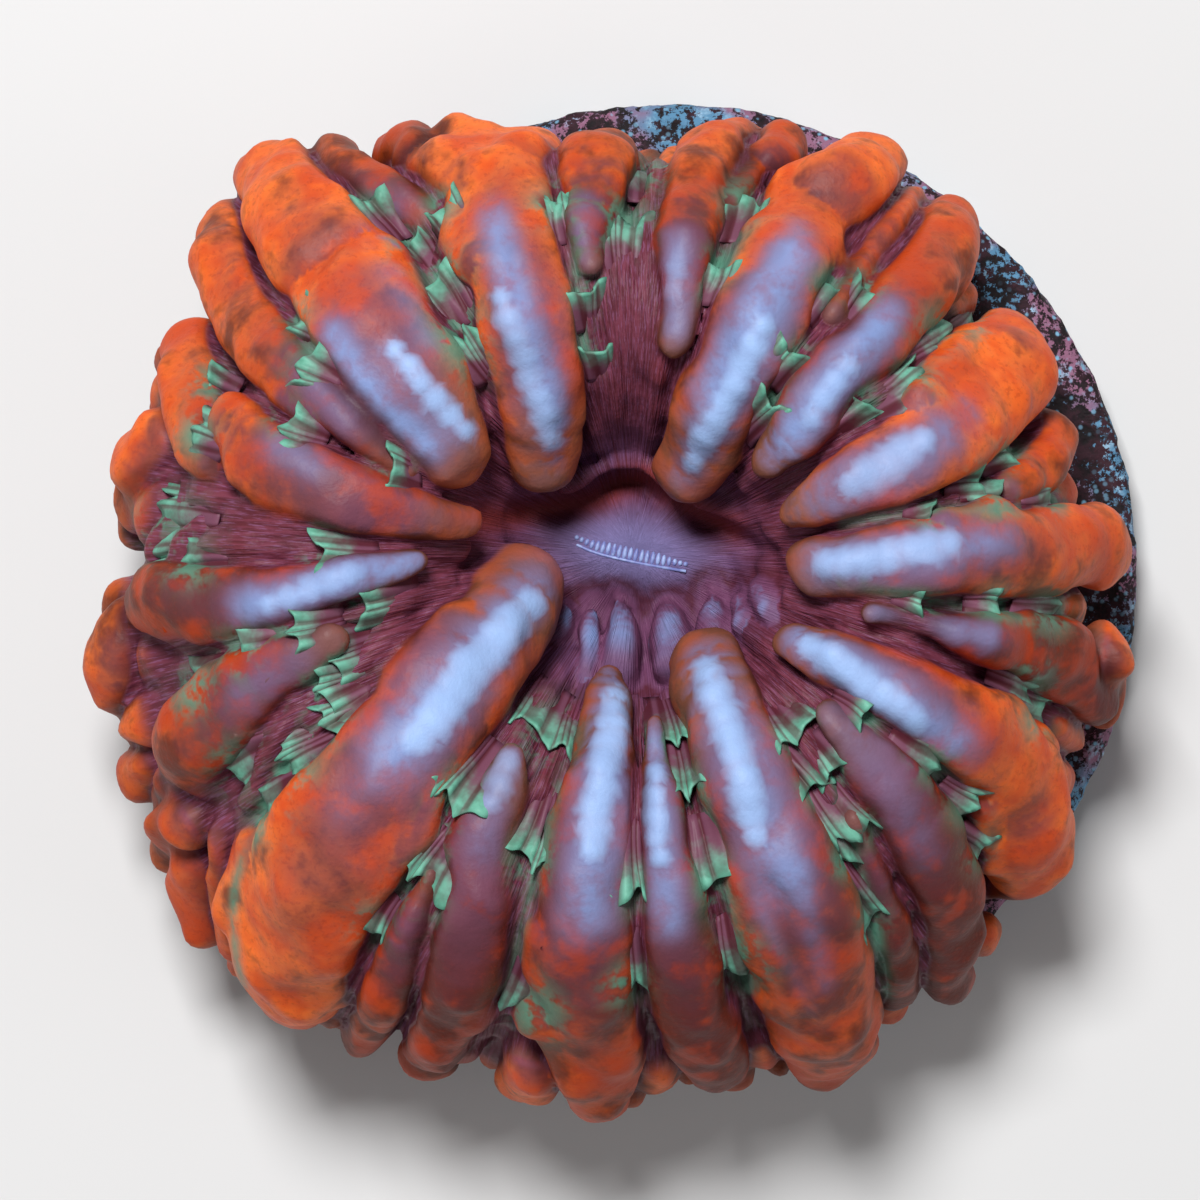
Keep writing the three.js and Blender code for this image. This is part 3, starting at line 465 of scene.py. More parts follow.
def ring_at(x, y):
    """The body's ring at a place. The rings' middles drift from the mouth to the body's centre."""
    drift = (BODY_CENTRE - MOUTH) / BODY_RADIUS
    away_x, away_y = x - MOUTH[0], y - MOUTH[1]
    along = away_x * drift[0] + away_y * drift[1]
    rest = 1 - drift @ drift
    return (np.sqrt(along**2 + rest * (away_x**2 + away_y**2)) - along) / rest


def height_at(profile, ring):
    """The height of a profile's upper side over a ring."""
    rings, heights = zip(*profile[:TOP_POINTS])
    return np.interp(ring, rings, heights)


def smooth_min(a, b, fillet):
    overlap = np.maximum(fillet - np.abs(a - b), 0) / fillet
    return np.minimum(a, b) - overlap * overlap * fillet / 4


def smooth_step(low, high, value):
    share = np.clip((value - low) / (high - low), 0, 1)
    return share * share * (3 - 2 * share)


def catmull(points, per_span):
    """A smooth run through points, with per_span steps between each two."""
    points = np.asarray(points, float)
    ends = np.vstack([2 * points[0] - points[1], points, 2 * points[-1] - points[-2]])
    steps = []
    for i in range(1, len(ends) - 2):
        for t in np.arange(per_span) / per_span:
            p0, p1, p2, p3 = ends[i - 1], ends[i], ends[i + 1], ends[i + 2]
            steps.append(0.5 * (2 * p1 + (p2 - p0) * t + (2 * p0 - 5 * p1 + 4 * p2 - p3) * t**2
                                + (3 * p1 - p0 - 3 * p2 + p3) * t**3))
    return np.vstack(steps + [points[-1]])


def crown_point(bearing, distance, half_width):
    x, y = polar(bearing, distance)
    crest = height_at(CREST_PROFILE, ring_at(x, y)) + LIFT_PER_WIDTH * (half_width - TYPICAL_LOBE)
    half_width = half_width * CROWN_SWELL
    return (x, y, FOOT + max(crest - half_width, half_width * 0.9), half_width)


def fold_point(bearing, distance, half_width):
    x, y = polar(bearing, distance)
    half_width = half_width * FOLD_SWELL
    return (x, y, FOOT + height_at(CORE_PROFILE, ring_at(x, y)) + FOLD_RISE - half_width, half_width)


def wall_point(bearing, distance, height, half_width):
    x, y = polar(bearing, distance)
    return (x, y, FOOT + height, half_width)


def skirt_points(i):
    """One small lobe of the skirt. The sines make each a little different."""
    turn = i / SKIRT_COUNT * 2 * math.pi
    half_width = SKIRT_HALF_WIDTH * (1 + 0.16 * math.sin(i * 2.3))
    top = SKIRT_TOP + 1.6 * math.sin(i * 1.7 + 1)
    tuck = SKIRT_TUCK * math.exp(-((math.degrees(turn) - SKIRT_TUCK_TURN) / SKIRT_TUCK_SPREAD) ** 2)
    reach = BODY_RADIUS - SKIRT_INSET + 0.7 * math.sin(i * 3.1) - tuck
    heights = [(reach - 1.2, top), (reach, (top + SKIRT_BOTTOM) / 2), (reach - 0.8, SKIRT_BOTTOM)]
    return [
        (BODY_CENTRE[0] + r * math.cos(turn), BODY_CENTRE[1] + r * math.sin(turn), FOOT + z, half_width)
        for r, z in heights
    ]


def tongue_point(bearing, distance, rise, half_width):
    x, y = polar(bearing, distance)
    return (x, y, FOOT + height_at(CORE_PROFILE, ring_at(x, y)) + rise - half_width, half_width)


def crown_run(name):
    """A crown lobe's points, with its way down the wall."""
    points = [crown_point(*p) for p in CROWN_LOBES[name]]
    if name in RUNS_DOWN:
        points = [p for p in points if ring_at(p[0], p[1]) < WALL_RING]
        points += [wall_point(*p) for p in RUNS_DOWN[name]]
    return points


def all_lobes():
    """Every lobe's name and its runs of beads, each bead (x, y, z, half-width)."""
    lobes = {name: [crown_run(name)] for name in CROWN_LOBES}
    for name, runs in SHOULDERS.items():
        lobes[name] += [[crown_point(*p) for p in run] for run in runs]
    lobes.update({name: [[wall_point(*p) for p in run]] for name, run in WALL_LOBES.items()})
    lobes.update({name: [[wall_point(*p) for p in run]] for name, run in BASIN_LIPS.items()})
    lobes.update({f"fold_{name}": [[fold_point(*p) for p in run]] for name, run in FOLDS.items()})
    lobes.update({f"skirt_{i}": [skirt_points(i)] for i in range(SKIRT_COUNT)})
    lobes.update({f"tongue_{i}": [[tongue_point(*p) for p in run]] for i, run in enumerate(TONGUES)})
    return {name: [catmull(run, BEADS_PER_SPAN) for run in runs] for name, runs in lobes.items()}


def bead_distance(a, b, x, y, z):
    """Distance to one span of a lobe, and how far along the span the nearest middle is."""
    step = b[:3] - a[:3]
    along = ((x - a[0]) * step[0] + (y - a[1]) * step[1] + (z - a[2]) * step[2]) / (step @ step)
    share = np.clip(along, 0, 1)
    away_x = x - a[0] - share * step[0]
    away_y = y - a[1] - share * step[1]
    away_z = z - a[2] - share * step[2]
    gap = np.sqrt(away_x**2 + away_y**2 + away_z**2)
    return gap - a[3] - share * (b[3] - a[3]), share


def run_glow(points, half_width, x, y):
    """Fades from 1 on a smooth run through (bearing, distance) points to 0 away from it, in plan."""
    run = catmull([polar(*p) for p in points], 4)
    nearest = np.full(x.shape, FAR)
    for a, b in zip(run[:-1], run[1:]):
        step = b - a
        share = np.clip(((x - a[0]) * step[0] + (y - a[1]) * step[1]) / (step @ step), 0, 1)
        nearest = np.minimum(nearest, np.hypot(x - a[0] - share * step[0], y - a[1] - share * step[1]))
    return np.exp(-((nearest / half_width) ** 2))


def along_run(run, spacing):
    """Places at an even spacing along a run of (x, y) points."""
    lengths = np.concatenate([[0], np.cumsum(np.hypot(*np.diff(run, axis=0).T))])
    steps = np.arange(spacing / 2, lengths[-1], spacing)
    return np.stack([np.interp(steps, lengths, run[:, 0]), np.interp(steps, lengths, run[:, 1])], axis=1)


def streak_mask(x, y):
    """How strongly a white beaded streak shows at a place in plan: a string of soft domes."""
    rng = np.random.default_rng(5)
    total = np.zeros(x.shape)
    for points, half_width, strength in STREAKS:
        beads = along_run(catmull([polar(*p) for p in points], 4), STREAK_BEAD)
        for i, (bead_x, bead_y) in enumerate(beads):
            ends = min(i + 1, len(beads) - i)
            radius = (half_width + 0.28) * min(1.0, 0.6 + 0.2 * ends) * rng.uniform(0.92, 1.12)
            shift = rng.uniform(-0.14, 0.14, 2) * half_width
            gap = np.hypot(x - bead_x - shift[0], y - bead_y - shift[1]) / radius
            total = np.maximum(total, strength * np.sqrt(np.clip(1 - gap**2, 0, 1)))
    return total


def cloud_mask(clouds, x, y):
    """How strongly soft clouds along runs of points show at a place in plan."""
    total = np.zeros(x.shape)
    for points, half_width, strength in clouds:
        total = 1 - (1 - total) * (1 - strength * run_glow(points, half_width, x, y))
    return total


def verdure_mask(x, y):
    """How near a place in plan is to a green frill."""
    total = np.zeros(x.shape)
    for bearing, distance, half_width, reach in FRILLS:
        centre = polar(bearing, distance - reach * 0.2)
        gap = np.hypot(x - centre[0], y - centre[1]) / (half_width * 0.85 + 0.25)
        total = np.maximum(total, np.exp(-(gap**2)))
    return total


def groove_depth(x, y):
    total = np.zeros(x.shape)
    for points, half_width, depth in GROOVES:
        total = np.maximum(total, depth * run_glow(points, half_width, x, y))
    return total


def sway(x, y, z, wavelength, seed):
    """Smooth irregular values between about -1 and 1."""
    rng = np.random.default_rng(seed)
    total = np.zeros(np.broadcast(x, y, z).shape, np.float32)
    for _ in range(5):
        direction = rng.normal(size=3)
        direction *= 2 * math.pi / wavelength / np.linalg.norm(direction) * rng.uniform(0.7, 1.4)
        phase = x * direction[0] + y * direction[1] + z * direction[2] + rng.uniform(0, 6.3)
        total += np.sin(phase).astype(np.float32)
    return total / 2.6


def waves(table, x, y, z):
    return sum(height * sway(x, y, z, wavelength, seed) for height, wavelength, seed in table)


# Growing the flesh


class Block:
    """A block of space filled with cells that hold the distance to the flesh's skin, negative inside."""

    def __init__(self):
        counts = np.ceil((BLOCK_HIGH - BLOCK_LOW) / CELL).astype(int) + 1
        self.axes = [(BLOCK_LOW[i] + CELL * np.arange(counts[i])).astype(np.float32) for i in range(3)]
        self.field = np.full(counts, 6.0, np.float32)
        self.nearest = np.full(counts, 6.0, np.float32)
        self.second = np.full(counts, 6.0, np.float32)
        self.counts = counts

    def slices(self, low, high):
        first = np.clip(np.floor((low - BLOCK_LOW) / CELL).astype(int), 0, self.counts)
        last = np.clip(np.ceil((high - BLOCK_LOW) / CELL).astype(int) + 1, 0, self.counts)
        return tuple(slice(a, b) for a, b in zip(first, last))

    def mesh(self, cut):
        return np.meshgrid(*[axis[s] for axis, s in zip(self.axes, cut)], indexing="ij", sparse=True)


def add_lobe(block, runs):
    """Joins a lobe to the block's flesh, and keeps the distances to the nearest and second nearest lobes."""
    beads = np.vstack(runs)
    margin = beads[:, 3].max() + 1.8
    cut = block.slices(beads[:, :3].min(0) - margin, beads[:, :3].max(0) + margin)
    lobe = np.full([s.stop - s.start for s in cut], 6.0, np.float32)
    for run in runs:
        for a, b in zip(run[:-1], run[1:]):
            reach = max(a[3], b[3]) + 1.8
            part = block.slices(np.minimum(a, b)[:3] - reach, np.maximum(a, b)[:3] + reach)
            inner = tuple(slice(p.start - c.start, p.stop - c.start) for p, c in zip(part, cut))
            distance, _ = bead_distance(a, b, *block.mesh(part))
            lobe[inner] = np.minimum(lobe[inner], distance)
    block.field[cut] = smooth_min(block.field[cut], lobe, LOBE_CREASE)
    block.second[cut] = np.minimum(block.second[cut], np.maximum(block.nearest[cut], lobe))
    block.nearest[cut] = np.minimum(block.nearest[cut], lobe)


def core_distance(ring, height):
    """Distance to the core's outline, for a ring and a height above the foot."""
    outline = np.array(CORE_PROFILE + [(0, -3), (0, 11.4)], float)
    nearest = np.full(np.broadcast(ring, height).shape, FAR)
    inside = np.zeros(nearest.shape, bool)
    for (r0, z0), (r1, z1) in zip(outline[:-1], outline[1:]):
        if z0 != z1:
            crossing = r0 + (r1 - r0) * (height - z0) / (z1 - z0)
            inside ^= ((z0 > height) != (z1 > height)) & (ring < crossing)
        if r0 or r1:
            out, up = r1 - r0, z1 - z0
            share = np.clip(((ring - r0) * out + (height - z0) * up) / (out**2 + up**2), 0, 1)
            nearest = np.minimum(nearest, np.hypot(ring - r0 - share * out, height - z0 - share * up))
    return np.where(inside, -nearest, nearest)


RING_STEPS = np.arange(0, 48, 0.1)


def core_field(block):
    x, y, z = block.axes
    rings = ring_at(x[:, None], y[None, :])
    table = core_distance(RING_STEPS[:, None], z[None, :] - FOOT)
    core = np.empty(block.counts, np.float32)
    for k in range(len(z)):
        core[:, :, k] = np.interp(rings, RING_STEPS, table[:, k])
    return core


def mouth_mound(x, y):
    """How far the lips swell up round the mouth's slit."""
    turn = math.radians(MOUND_TURN)
    away_x, away_y = x - MOUND_MIDDLE[0], y - MOUND_MIDDLE[1]
    along = away_x * math.cos(turn) + away_y * math.sin(turn)
    over = away_y * math.cos(turn) - away_x * math.sin(turn)
    return MOUND_RISE * np.exp(-(((along / MOUND_LENGTH) ** 2 + (over / MOUND_WIDTH) ** 2) ** 1.4))


def core_folds(bearing, ring):
    """Wavering folds that run out from the mouth over the body, fine ones on coarse ones."""
    wander = 2.2 * np.sin(5 * bearing + ring * 0.35)
    fine = FINE_FOLD_HEIGHT * np.sin(FINE_FOLD_COUNT * bearing + wander)
    coarse = COARSE_FOLD_HEIGHT * np.sin(COARSE_FOLD_COUNT * bearing + 1.7 * wander)
    return (fine + coarse) * smooth_step(3.5, 9, ring)


def wall_dent(bearing, ring):
    """How far the body draws in behind the lobes of the far wall."""
    away = (np.degrees(bearing) - WALL_DENT_TURN) / WALL_DENT_SPREAD
    return WALL_DENT * np.exp(-(away**2)) * smooth_step(21, 24.5, ring)


def grow_flesh():
    """Fills the block, and keeps how much flesh surrounds each cell, for the shading of the furrows."""
    block = Block()
    for runs in all_lobes().values():
        add_lobe(block, runs)
    crease = smooth_step(CREASE_WIDTH, 0.0, block.second - block.nearest)
    crease = crease * smooth_step(-2.0, -0.2, block.nearest)
    core = core_field(block)
    x, y, z = block.mesh(tuple(slice(0, n) for n in block.counts))
    bearing = np.arctan2(y - MOUTH[1], x - MOUTH[0])
    ring = ring_at(x, y)
    core = core + core_folds(bearing, ring).astype(np.float32) + waves(BODY_WAVES, x, y, z)
    core -= mouth_mound(x, y).astype(np.float32)
    core += wall_dent(bearing, ring).astype(np.float32)
    fillet = BASIN_FILLET + (ROOT_FILLET - BASIN_FILLET) * smooth_step(6.5, 10, ring)
    field = smooth_min(block.field + CREASE_DEPTH * crease.astype(np.float32), core, fillet)
    plan_x, plan_y = np.meshgrid(block.axes[0], block.axes[1], indexing="ij")
    pressed = STREAK_RISE * streak_mask(plan_x, plan_y) - groove_depth(plan_x, plan_y)
    field -= pressed[:, :, None].astype(np.float32)
    field += waves(FLESH_WAVES, x, y, z)
    field = np.maximum(soften(field.astype(np.float32)), FOOT - z)
    block.field = field.astype(np.float32)
    block.crowding = blur((field < 0).astype(np.float32), round(1.3 / CELL))
    return block


def soften(values):
    """Evens out each cell a little with its neighbours."""
    for axis in range(3):
        pad = [(int(i == axis), int(i == axis)) for i in range(3)]
        wide = np.pad(values, pad, mode="edge")
        count = values.shape[axis]
        low, mid, high = (np.take(wide, np.arange(k, count + k), axis=axis) for k in range(3))
        values = 0.25 * low + 0.5 * mid + 0.25 * high
    return values


def blur(values, half):
    """Two running means along each axis."""
    width = 2 * half + 1
    for axis in range(3):
        for _ in range(2):
            pad = [(0, 0)] * 3
            pad[axis] = (half + 1, half)
            sums = np.cumsum(np.pad(values, pad, mode="edge"), axis=axis, dtype=np.float32)
            high = np.take(sums, np.arange(width, sums.shape[axis]), axis=axis)
            low = np.take(sums, np.arange(0, sums.shape[axis] - width), axis=axis)
            values = (high - low) / width
    return values


def sample(values, places):
    """Values of a block's cells at places in millimetres."""
    spot = np.clip((places - BLOCK_LOW) / CELL, 0, np.array(values.shape) - 1.001)
    base = spot.astype(int)
    share = spot - base
    total = np.zeros(len(places))
    for corner in np.ndindex(2, 2, 2):
        weight = np.prod(np.where(corner, share, 1 - share), axis=1)
        total += weight * values[tuple((base + corner).T)]
    return total


def skin_places(field, cells):
    """The middle of the places where the skin crosses each cell's edges."""
    total = np.zeros((len(cells), 3))
    crossings = np.zeros(len(cells))
    for a in np.ndindex(2, 2, 2):
        for axis in range(3):
            if a[axis]:
                continue
            b = tuple(v + (i == axis) for i, v in enumerate(a))
            fa = field[tuple((cells + a).T)]
            fb = field[tuple((cells + b).T)]
            crosses = (fa < 0) != (fb < 0)
            share = np.where(crosses, fa / np.where(crosses, fa - fb, 1), 0)
            spot = np.array(a, float) + share[:, None] * np.eye(3)[axis]
            total += spot * crosses[:, None]
            crossings += crosses
    return BLOCK_LOW + CELL * (cells + total / crossings[:, None])


def skin_faces(inside, number):
    """A four-sided face across each step of the block that leaves or enters the flesh."""
    faces = []
    for axis in range(3):
        u, v = (axis + 1) % 3, (axis + 2) % 3
        first = inside[tuple(slice(0, -1) if i == axis else slice(1, -1) for i in range(3))]
        second = inside[tuple(slice(1, None) if i == axis else slice(1, -1) for i in range(3))]
        for leaving in (True, False):
            edges = np.argwhere((first & ~second) if leaving else (~first & second))
            base = edges + [0 if i == axis else 1 for i in range(3)]
            ring = []
            for du, dv in ((1, 1), (0, 1), (0, 0), (1, 0)):
                cell = base.copy()
                cell[:, u] -= du
                cell[:, v] -= dv
                ring.append(number[tuple(cell.T)])
            faces.append(np.stack(ring if leaving else ring[::-1], axis=1))
    return np.vstack(faces)


def skin_mesh(block):
    """The skin of a block's flesh: a corner in each cell that it crosses, joined by four-sided faces."""
    inside = block.field < 0
    shape = np.array(inside.shape) - 1
    count = np.zeros(shape, np.uint8)
    for corner in np.ndindex(2, 2, 2):
        count += inside[tuple(slice(c, c + n) for c, n in zip(corner, shape))]
    cells = np.argwhere((count > 0) & (count < 8))
    number = np.full(shape, -1, np.int32)
    number[tuple(cells.T)] = np.arange(len(cells))
    return skin_places(block.field, cells), skin_faces(inside, number)


def biggest_piece(places, faces):
    """Leaves out the crumbs that hang loose from the main skin."""
    label = np.arange(len(places))
    ends = np.vstack([faces[:, [0, 1]], faces[:, [1, 2]], faces[:, [2, 3]]])
    while True:
        lowest = np.minimum(label[ends[:, 0]], label[ends[:, 1]])
        fresh = label.copy()
        np.minimum.at(fresh, ends[:, 0], lowest)
        np.minimum.at(fresh, ends[:, 1], lowest)
        fresh = fresh[fresh]
        if np.array_equal(fresh, label):
            break
        label = fresh
    main = label == np.bincount(label).argmax()
    number = np.cumsum(main) - 1
    return places[main], number[faces[main[faces[:, 0]]]]


# Mesh helpers


def new_object(name, places, faces):
    """An object whose mesh is made from places in millimetres and same-sided faces."""
    places = np.asarray(places, float) * MM
    faces = np.asarray(faces, np.int32)
    sides = faces.shape[1]
    mesh = bpy.data.meshes.new(name)
    mesh.vertices.add(len(places))
    mesh.vertices.foreach_set("co", places.ravel())
    mesh.loops.add(faces.size)
    mesh.loops.foreach_set("vertex_index", faces.ravel())
    mesh.polygons.add(len(faces))
    mesh.polygons.foreach_set("loop_start", np.arange(0, faces.size, sides, dtype=np.int32))
    mesh.polygons.foreach_set("loop_total", np.full(len(faces), sides, np.int32))
    mesh.update(calc_edges=True)
    mesh.validate()
    piece = bpy.data.objects.new(name, mesh)
    bpy.context.scene.collection.objects.link(piece)
    mesh.shade_smooth()
    return piece


def places_of(mesh):
    places = np.empty(len(mesh.vertices) * 3)
    mesh.vertices.foreach_get("co", places)
    return places.reshape(-1, 3) / MM


def store(mesh, name, values):
    values = np.asarray(values, np.float32)
    if values.ndim == 1:
        mesh.attributes.new(name, "FLOAT", "POINT").data.foreach_set("value", values)
    else:
        mesh.attributes.new(name, "FLOAT_VECTOR", "POINT").data.foreach_set("vector", values.ravel())


def finished_mesh(piece):
    """A plain mesh of the piece with its modifiers put in."""
    evaluated = piece.evaluated_get(bpy.context.evaluated_depsgraph_get())
    mesh = bpy.data.meshes.new_from_object(evaluated)
    mesh.shade_smooth()
    return mesh


# The flesh


def lobe_facts(places):
    """What the nearest lobe says about each place, and the gap from it to the next lobe."""
    nearest = np.full(len(places), LOBE_REACH)
    second = nearest.copy()
    facts = {name: np.zeros(len(places)) for name in ("crest", "along", "tone", "tongue", "moat_shade", "fold")}
    facts["tone"] += UNTOUCHED_TONE
    for name, runs in all_lobes().items():
        beads = np.vstack(runs)
        reach = np.hypot(*(runs[0][:, :2] - MOUTH).T)
        margin = beads[:, 3].max() + 1.2
        above = places > beads[:, :3].min(0) - margin
        below = places < beads[:, :3].max(0) + margin
        chosen = np.flatnonzero(np.all(above & below, axis=1))
        if not len(chosen):
            continue
        x, y, z = places[chosen].T
        best = np.full(len(chosen), LOBE_REACH)
        crest = np.zeros(len(chosen))
        out = np.hypot(x - MOUTH[0], y - MOUTH[1])
        along = np.clip((out - reach.min()) / max(np.ptp(reach), 1.0), 0, 1)
        for run in runs:
            for a, b in zip(run[:-1], run[1:]):
                distance, share = bead_distance(a, b, x, y, z)
                middle = a[2] + share * (b[2] - a[2])
                width = a[3] + share * (b[3] - a[3])
                closer = distance < best
                best = np.where(closer, distance, best)
                crest = np.where(closer, (z - middle) / np.maximum(width + distance, 0.2), crest)
        wins = best < nearest[chosen]
        second[chosen] = np.where(wins, nearest[chosen], np.minimum(second[chosen], best))
        won, best = chosen[wins], best[wins]
        nearest[won] = best
        inner, outer = LOBE_TONES.get(name, PLAIN_TONE)
        touching = smooth_step(0.5, 0.1, best)
        is_tongue = name.startswith("tongue")
        facts["crest"][won] = crest[wins]
        facts["along"][won] = along[wins]
        facts["tone"][won] = inner + (outer - inner) * along[wins]
        facts["tongue"][won] = touching * is_tongue
        # A band just outside each tongue, where shade is painted in the crevice round it
        facts["moat_shade"][won] = (1 - touching) * smooth_step(1.3, 0.6, best) * is_tongue
        facts["fold"][won] = float(is_tongue or name.startswith("fold") or name in BASIN_LIPS)
    facts["gap"] = second - nearest
    return facts


def paint_flesh(mesh, block):
    """Writes what the flesh's material needs on to each corner of its mesh."""
    places = places_of(mesh)
    x, y, z = places.T
    ring = ring_at(x, y)
    bearing = np.arctan2(y - MOUTH[1], x - MOUTH[0])
    facts = lobe_facts(places)
    rise = core_distance(ring, z - FOOT) + wall_dent(bearing, ring)
    crowding = sample(block.crowding, places)
    upward = smooth_step(0.35, 0.9, facts["crest"])
    store(mesh, "rise", np.clip(rise / 4, 0, 1))
    store(mesh, "crest", np.clip(facts["crest"] * 0.5 + 0.5, 0, 1))
    for name in ("tone", "along", "tongue", "fold", "moat_shade"):
        store(mesh, name, facts[name])
    # Where two lobes meet, for the painted shade in the creases
    store(mesh, "crease", smooth_step(1.1, 0.1, facts["gap"]))
    # How closely flesh crowds round a place, for the painted shade in the furrows
    store(mesh, "furrow", smooth_step(0.5, 0.72, crowding))
    store(mesh, "streak", streak_mask(x, y) * smooth_step(0.2, 0.7, facts["crest"]) * (rise > 1.2))
    store(mesh, "haze", cloud_mask(HAZES, x, y) * upward)
    store(mesh, "basin", smooth_step(9.5, 6.0, ring) * smooth_step(2.6, 1.2, rise))
    store(mesh, "mound", mouth_mound(x, y) / MOUND_RISE)
    # Where shade is painted in the hollow under the far lips
    store(mesh, "cavity_shade", cloud_mask(CAVITY_SHADES, x, y) * smooth_step(3.4, 2.2, rise))
    # Height towards the foot, for the painted shade low on the flesh
    store(mesh, "low", smooth_step(11, 2, z - FOOT))
    store(mesh, "verdure", verdure_mask(x, y) * smooth_step(4.2, 2.2, rise))
    store(mesh, "vein", cloud_mask(VEINS, x, y) * smooth_step(0.95, 0.6, facts["crest"]))
    store(mesh, "grain", np.stack([np.cos(bearing) * 10, np.sin(bearing) * 10, ring * 0.05], axis=1))


def make_flesh(block):
    places, faces = biggest_piece(*skin_mesh(block))
    piece = new_object("polyp_flesh", places, faces)
    thin = piece.modifiers.new("thin out", "DECIMATE")
    thin.ratio = min(1.0, FLESH_TRIANGLES / (2 * len(faces)))
    mesh = finished_mesh(piece)
    piece.modifiers.clear()
    piece.data = mesh
    paint_flesh(piece.data, block)
    return piece


# The frills


def top_surface(block):
    """Height of the flesh's upper skin over each spot of the plan."""
    inside = block.field < 0
    last = inside.shape[2] - 1 - np.argmax(inside[:, :, ::-1], axis=2)
    last = np.clip(last, 0, inside.shape[2] - 2)
    i, j = np.indices(last.shape)
    below = block.field[i, j, last]
    above = block.field[i, j, last + 1]
    share = np.clip(below / np.where(below == above, -1, below - above), 0, 1)
    height = BLOCK_LOW[2] + CELL * (last + share)
    return np.where(inside.any(axis=2), height, FOOT)


def sample_plan(values, x, y):
    spot_x = np.clip((x - BLOCK_LOW[0]) / CELL, 0, values.shape[0] - 1.001)
    spot_y = np.clip((y - BLOCK_LOW[1]) / CELL, 0, values.shape[1] - 1.001)
    i, j = spot_x.astype(int), spot_y.astype(int)
    u, v = spot_x - i, spot_y - j
    low = values[i, j] * (1 - v) + values[i, j + 1] * v
    high = values[i + 1, j] * (1 - v) + values[i + 1, j + 1] * v
    return low * (1 - u) + high * u


def frill_sheet(frill, heights, seed):
    """One pleated web across a furrow. Its rows run from the root to the free edge, which hangs in points."""
    bearing, distance, half_width, reach = frill
    rng = np.random.default_rng(seed)
    half_width = half_width * 1.15 + FRILL_TUCK
    pleats = max(3, round(2 * half_width / FRILL_PLEAT))
    points = max(1, round(half_width * 0.95))
    columns = pleats * 6 + 1
    u, v = np.meshgrid(np.linspace(-1, 1, columns), np.linspace(0, 1, FRILL_ROWS))
    turn = math.radians(bearing)
    outward = np.array([math.cos(turn), math.sin(turn)])
    across = np.array([-outward[1], outward[0]])
    wave = u + 0.16 * np.sin(4.1 * u + seed) + 0.06 * np.sin(9.7 * u + 2 * seed)
    scallop = np.abs(np.sin(math.pi * points * (wave + 1) / 2)) ** (1.0 if bearing > 190 else 2.0)
    middle = distance - reach * (1 - v)
    radius = middle - v**2 * scallop * reach * 0.24 + 0.45 * rng.uniform(-1, 1) * u
    side = u * half_width * (0.72 + 0.28 * v) + 0.12 * np.sin(3 * v + seed)
    x = MOUTH[0] + outward[0] * radius + across[0] * side
    y = MOUTH[1] + outward[1] * radius + across[1] * side
    ripple = np.sin(math.pi * pleats * (wave + 1) + 1.3 * np.sin(2 * v + seed))
    shifts = np.linspace(-1, 1, 5) * min(1.0, half_width * 0.6)
    bed = np.minimum.reduce([
        sample_plan(heights, *(MOUTH[i] + outward[i] * middle + across[i] * shift for i in (0, 1)))
        for shift in shifts
    ])
    bed = np.minimum(bed + FRILL_CLIMB * np.abs(u), sample_plan(heights, x, y))
    bed = bed - FRILL_SINK * np.abs(u) ** 4
    lift = FRILL_LIFT * v**1.3 * (1 - 0.6 * u**2) * rng.uniform(0.75, 1.15) - FRILL_ROOT * (1 - v) ** 2
    z = bed + lift + FRILL_DEPTH * ripple * (0.2 + 0.8 * v)
    return np.stack([x, y, z], axis=2), v, ripple


def close_sheet(sheet, thickness):
    """Gives a sheet of rows and columns a thickness, closed all round."""
    rows, columns, _ = sheet.shape
    down = np.gradient(sheet, axis=0)
    over = np.gradient(sheet, axis=1)
    normal = np.cross(over, down)
    normal /= np.maximum(np.linalg.norm(normal, axis=2, keepdims=True), 1e-6)
    normal *= np.where(normal[:, :, 2:] < 0, -1, 1)
    places = np.vstack([(sheet + side * normal * thickness / 2).reshape(-1, 3) for side in (1, -1)])
    index = np.arange(rows * columns).reshape(rows, columns)
    top = np.stack([index[:-1, :-1], index[:-1, 1:], index[1:, 1:], index[1:, :-1]], axis=2).reshape(-1, 4)
    bottom = top[:, ::-1] + rows * columns
    rim = np.concatenate([index[0, :], index[1:, -1], index[-1, -2::-1], index[-2:0:-1, 0]])
    after = np.roll(rim, -1)
    wall = np.stack([after, rim, rim + rows * columns, after + rows * columns], axis=1)
    return places, np.vstack([top, bottom, wall])


def make_frills(block):
    heights = top_surface(block)
    heights = blur(heights[:, :, None], round(0.45 / CELL))[:, :, 0]
    places, faces, edges, stripes = [], [], [], []
    start = 0
    for seed, frill in enumerate(FRILLS):
        sheet, v, ripple = frill_sheet(frill, heights, seed)
        corners, quads = close_sheet(sheet, FRILL_THICKNESS)
        places.append(corners)
        faces.append(quads + start)
        edges.append(np.tile(v.ravel(), 2))
        stripes.append(np.tile(ripple.ravel(), 2))
        start += len(corners)
    piece = new_object("green_frills", np.vstack(places), np.vstack(faces))
    store(piece.data, "edge", np.concatenate(edges))
    store(piece.data, "stripe", np.concatenate(stripes))
    outward_faces(piece)
    return piece


def outward_faces(piece):
    shape = bmesh.new()
    shape.from_mesh(piece.data)
    bmesh.ops.recalc_face_normals(shape, faces=shape.faces)
    shape.to_mesh(piece.data)
    shape.free()


# The mouth's comb


COMB_SIZES = {
    "Teeth": ("Int", COMB_TEETH),
    "Tooth length": ("Float", TOOTH_LENGTH * MM),
    "Tooth half-width": ("Float", TOOTH_HALF_WIDTH * MM),
    "Lip half-width": ("Float", LIP_HALF_WIDTH * MM),
}


def add_node(tree, kind, values=(), **settings):
    """A node with its settings, and its values as (input, value)."""
    node = tree.nodes.new(kind)
    for name, value in settings.items():
        setattr(node, name, value)
    for name, value in values:
        node.inputs[name].default_value = value
    return node


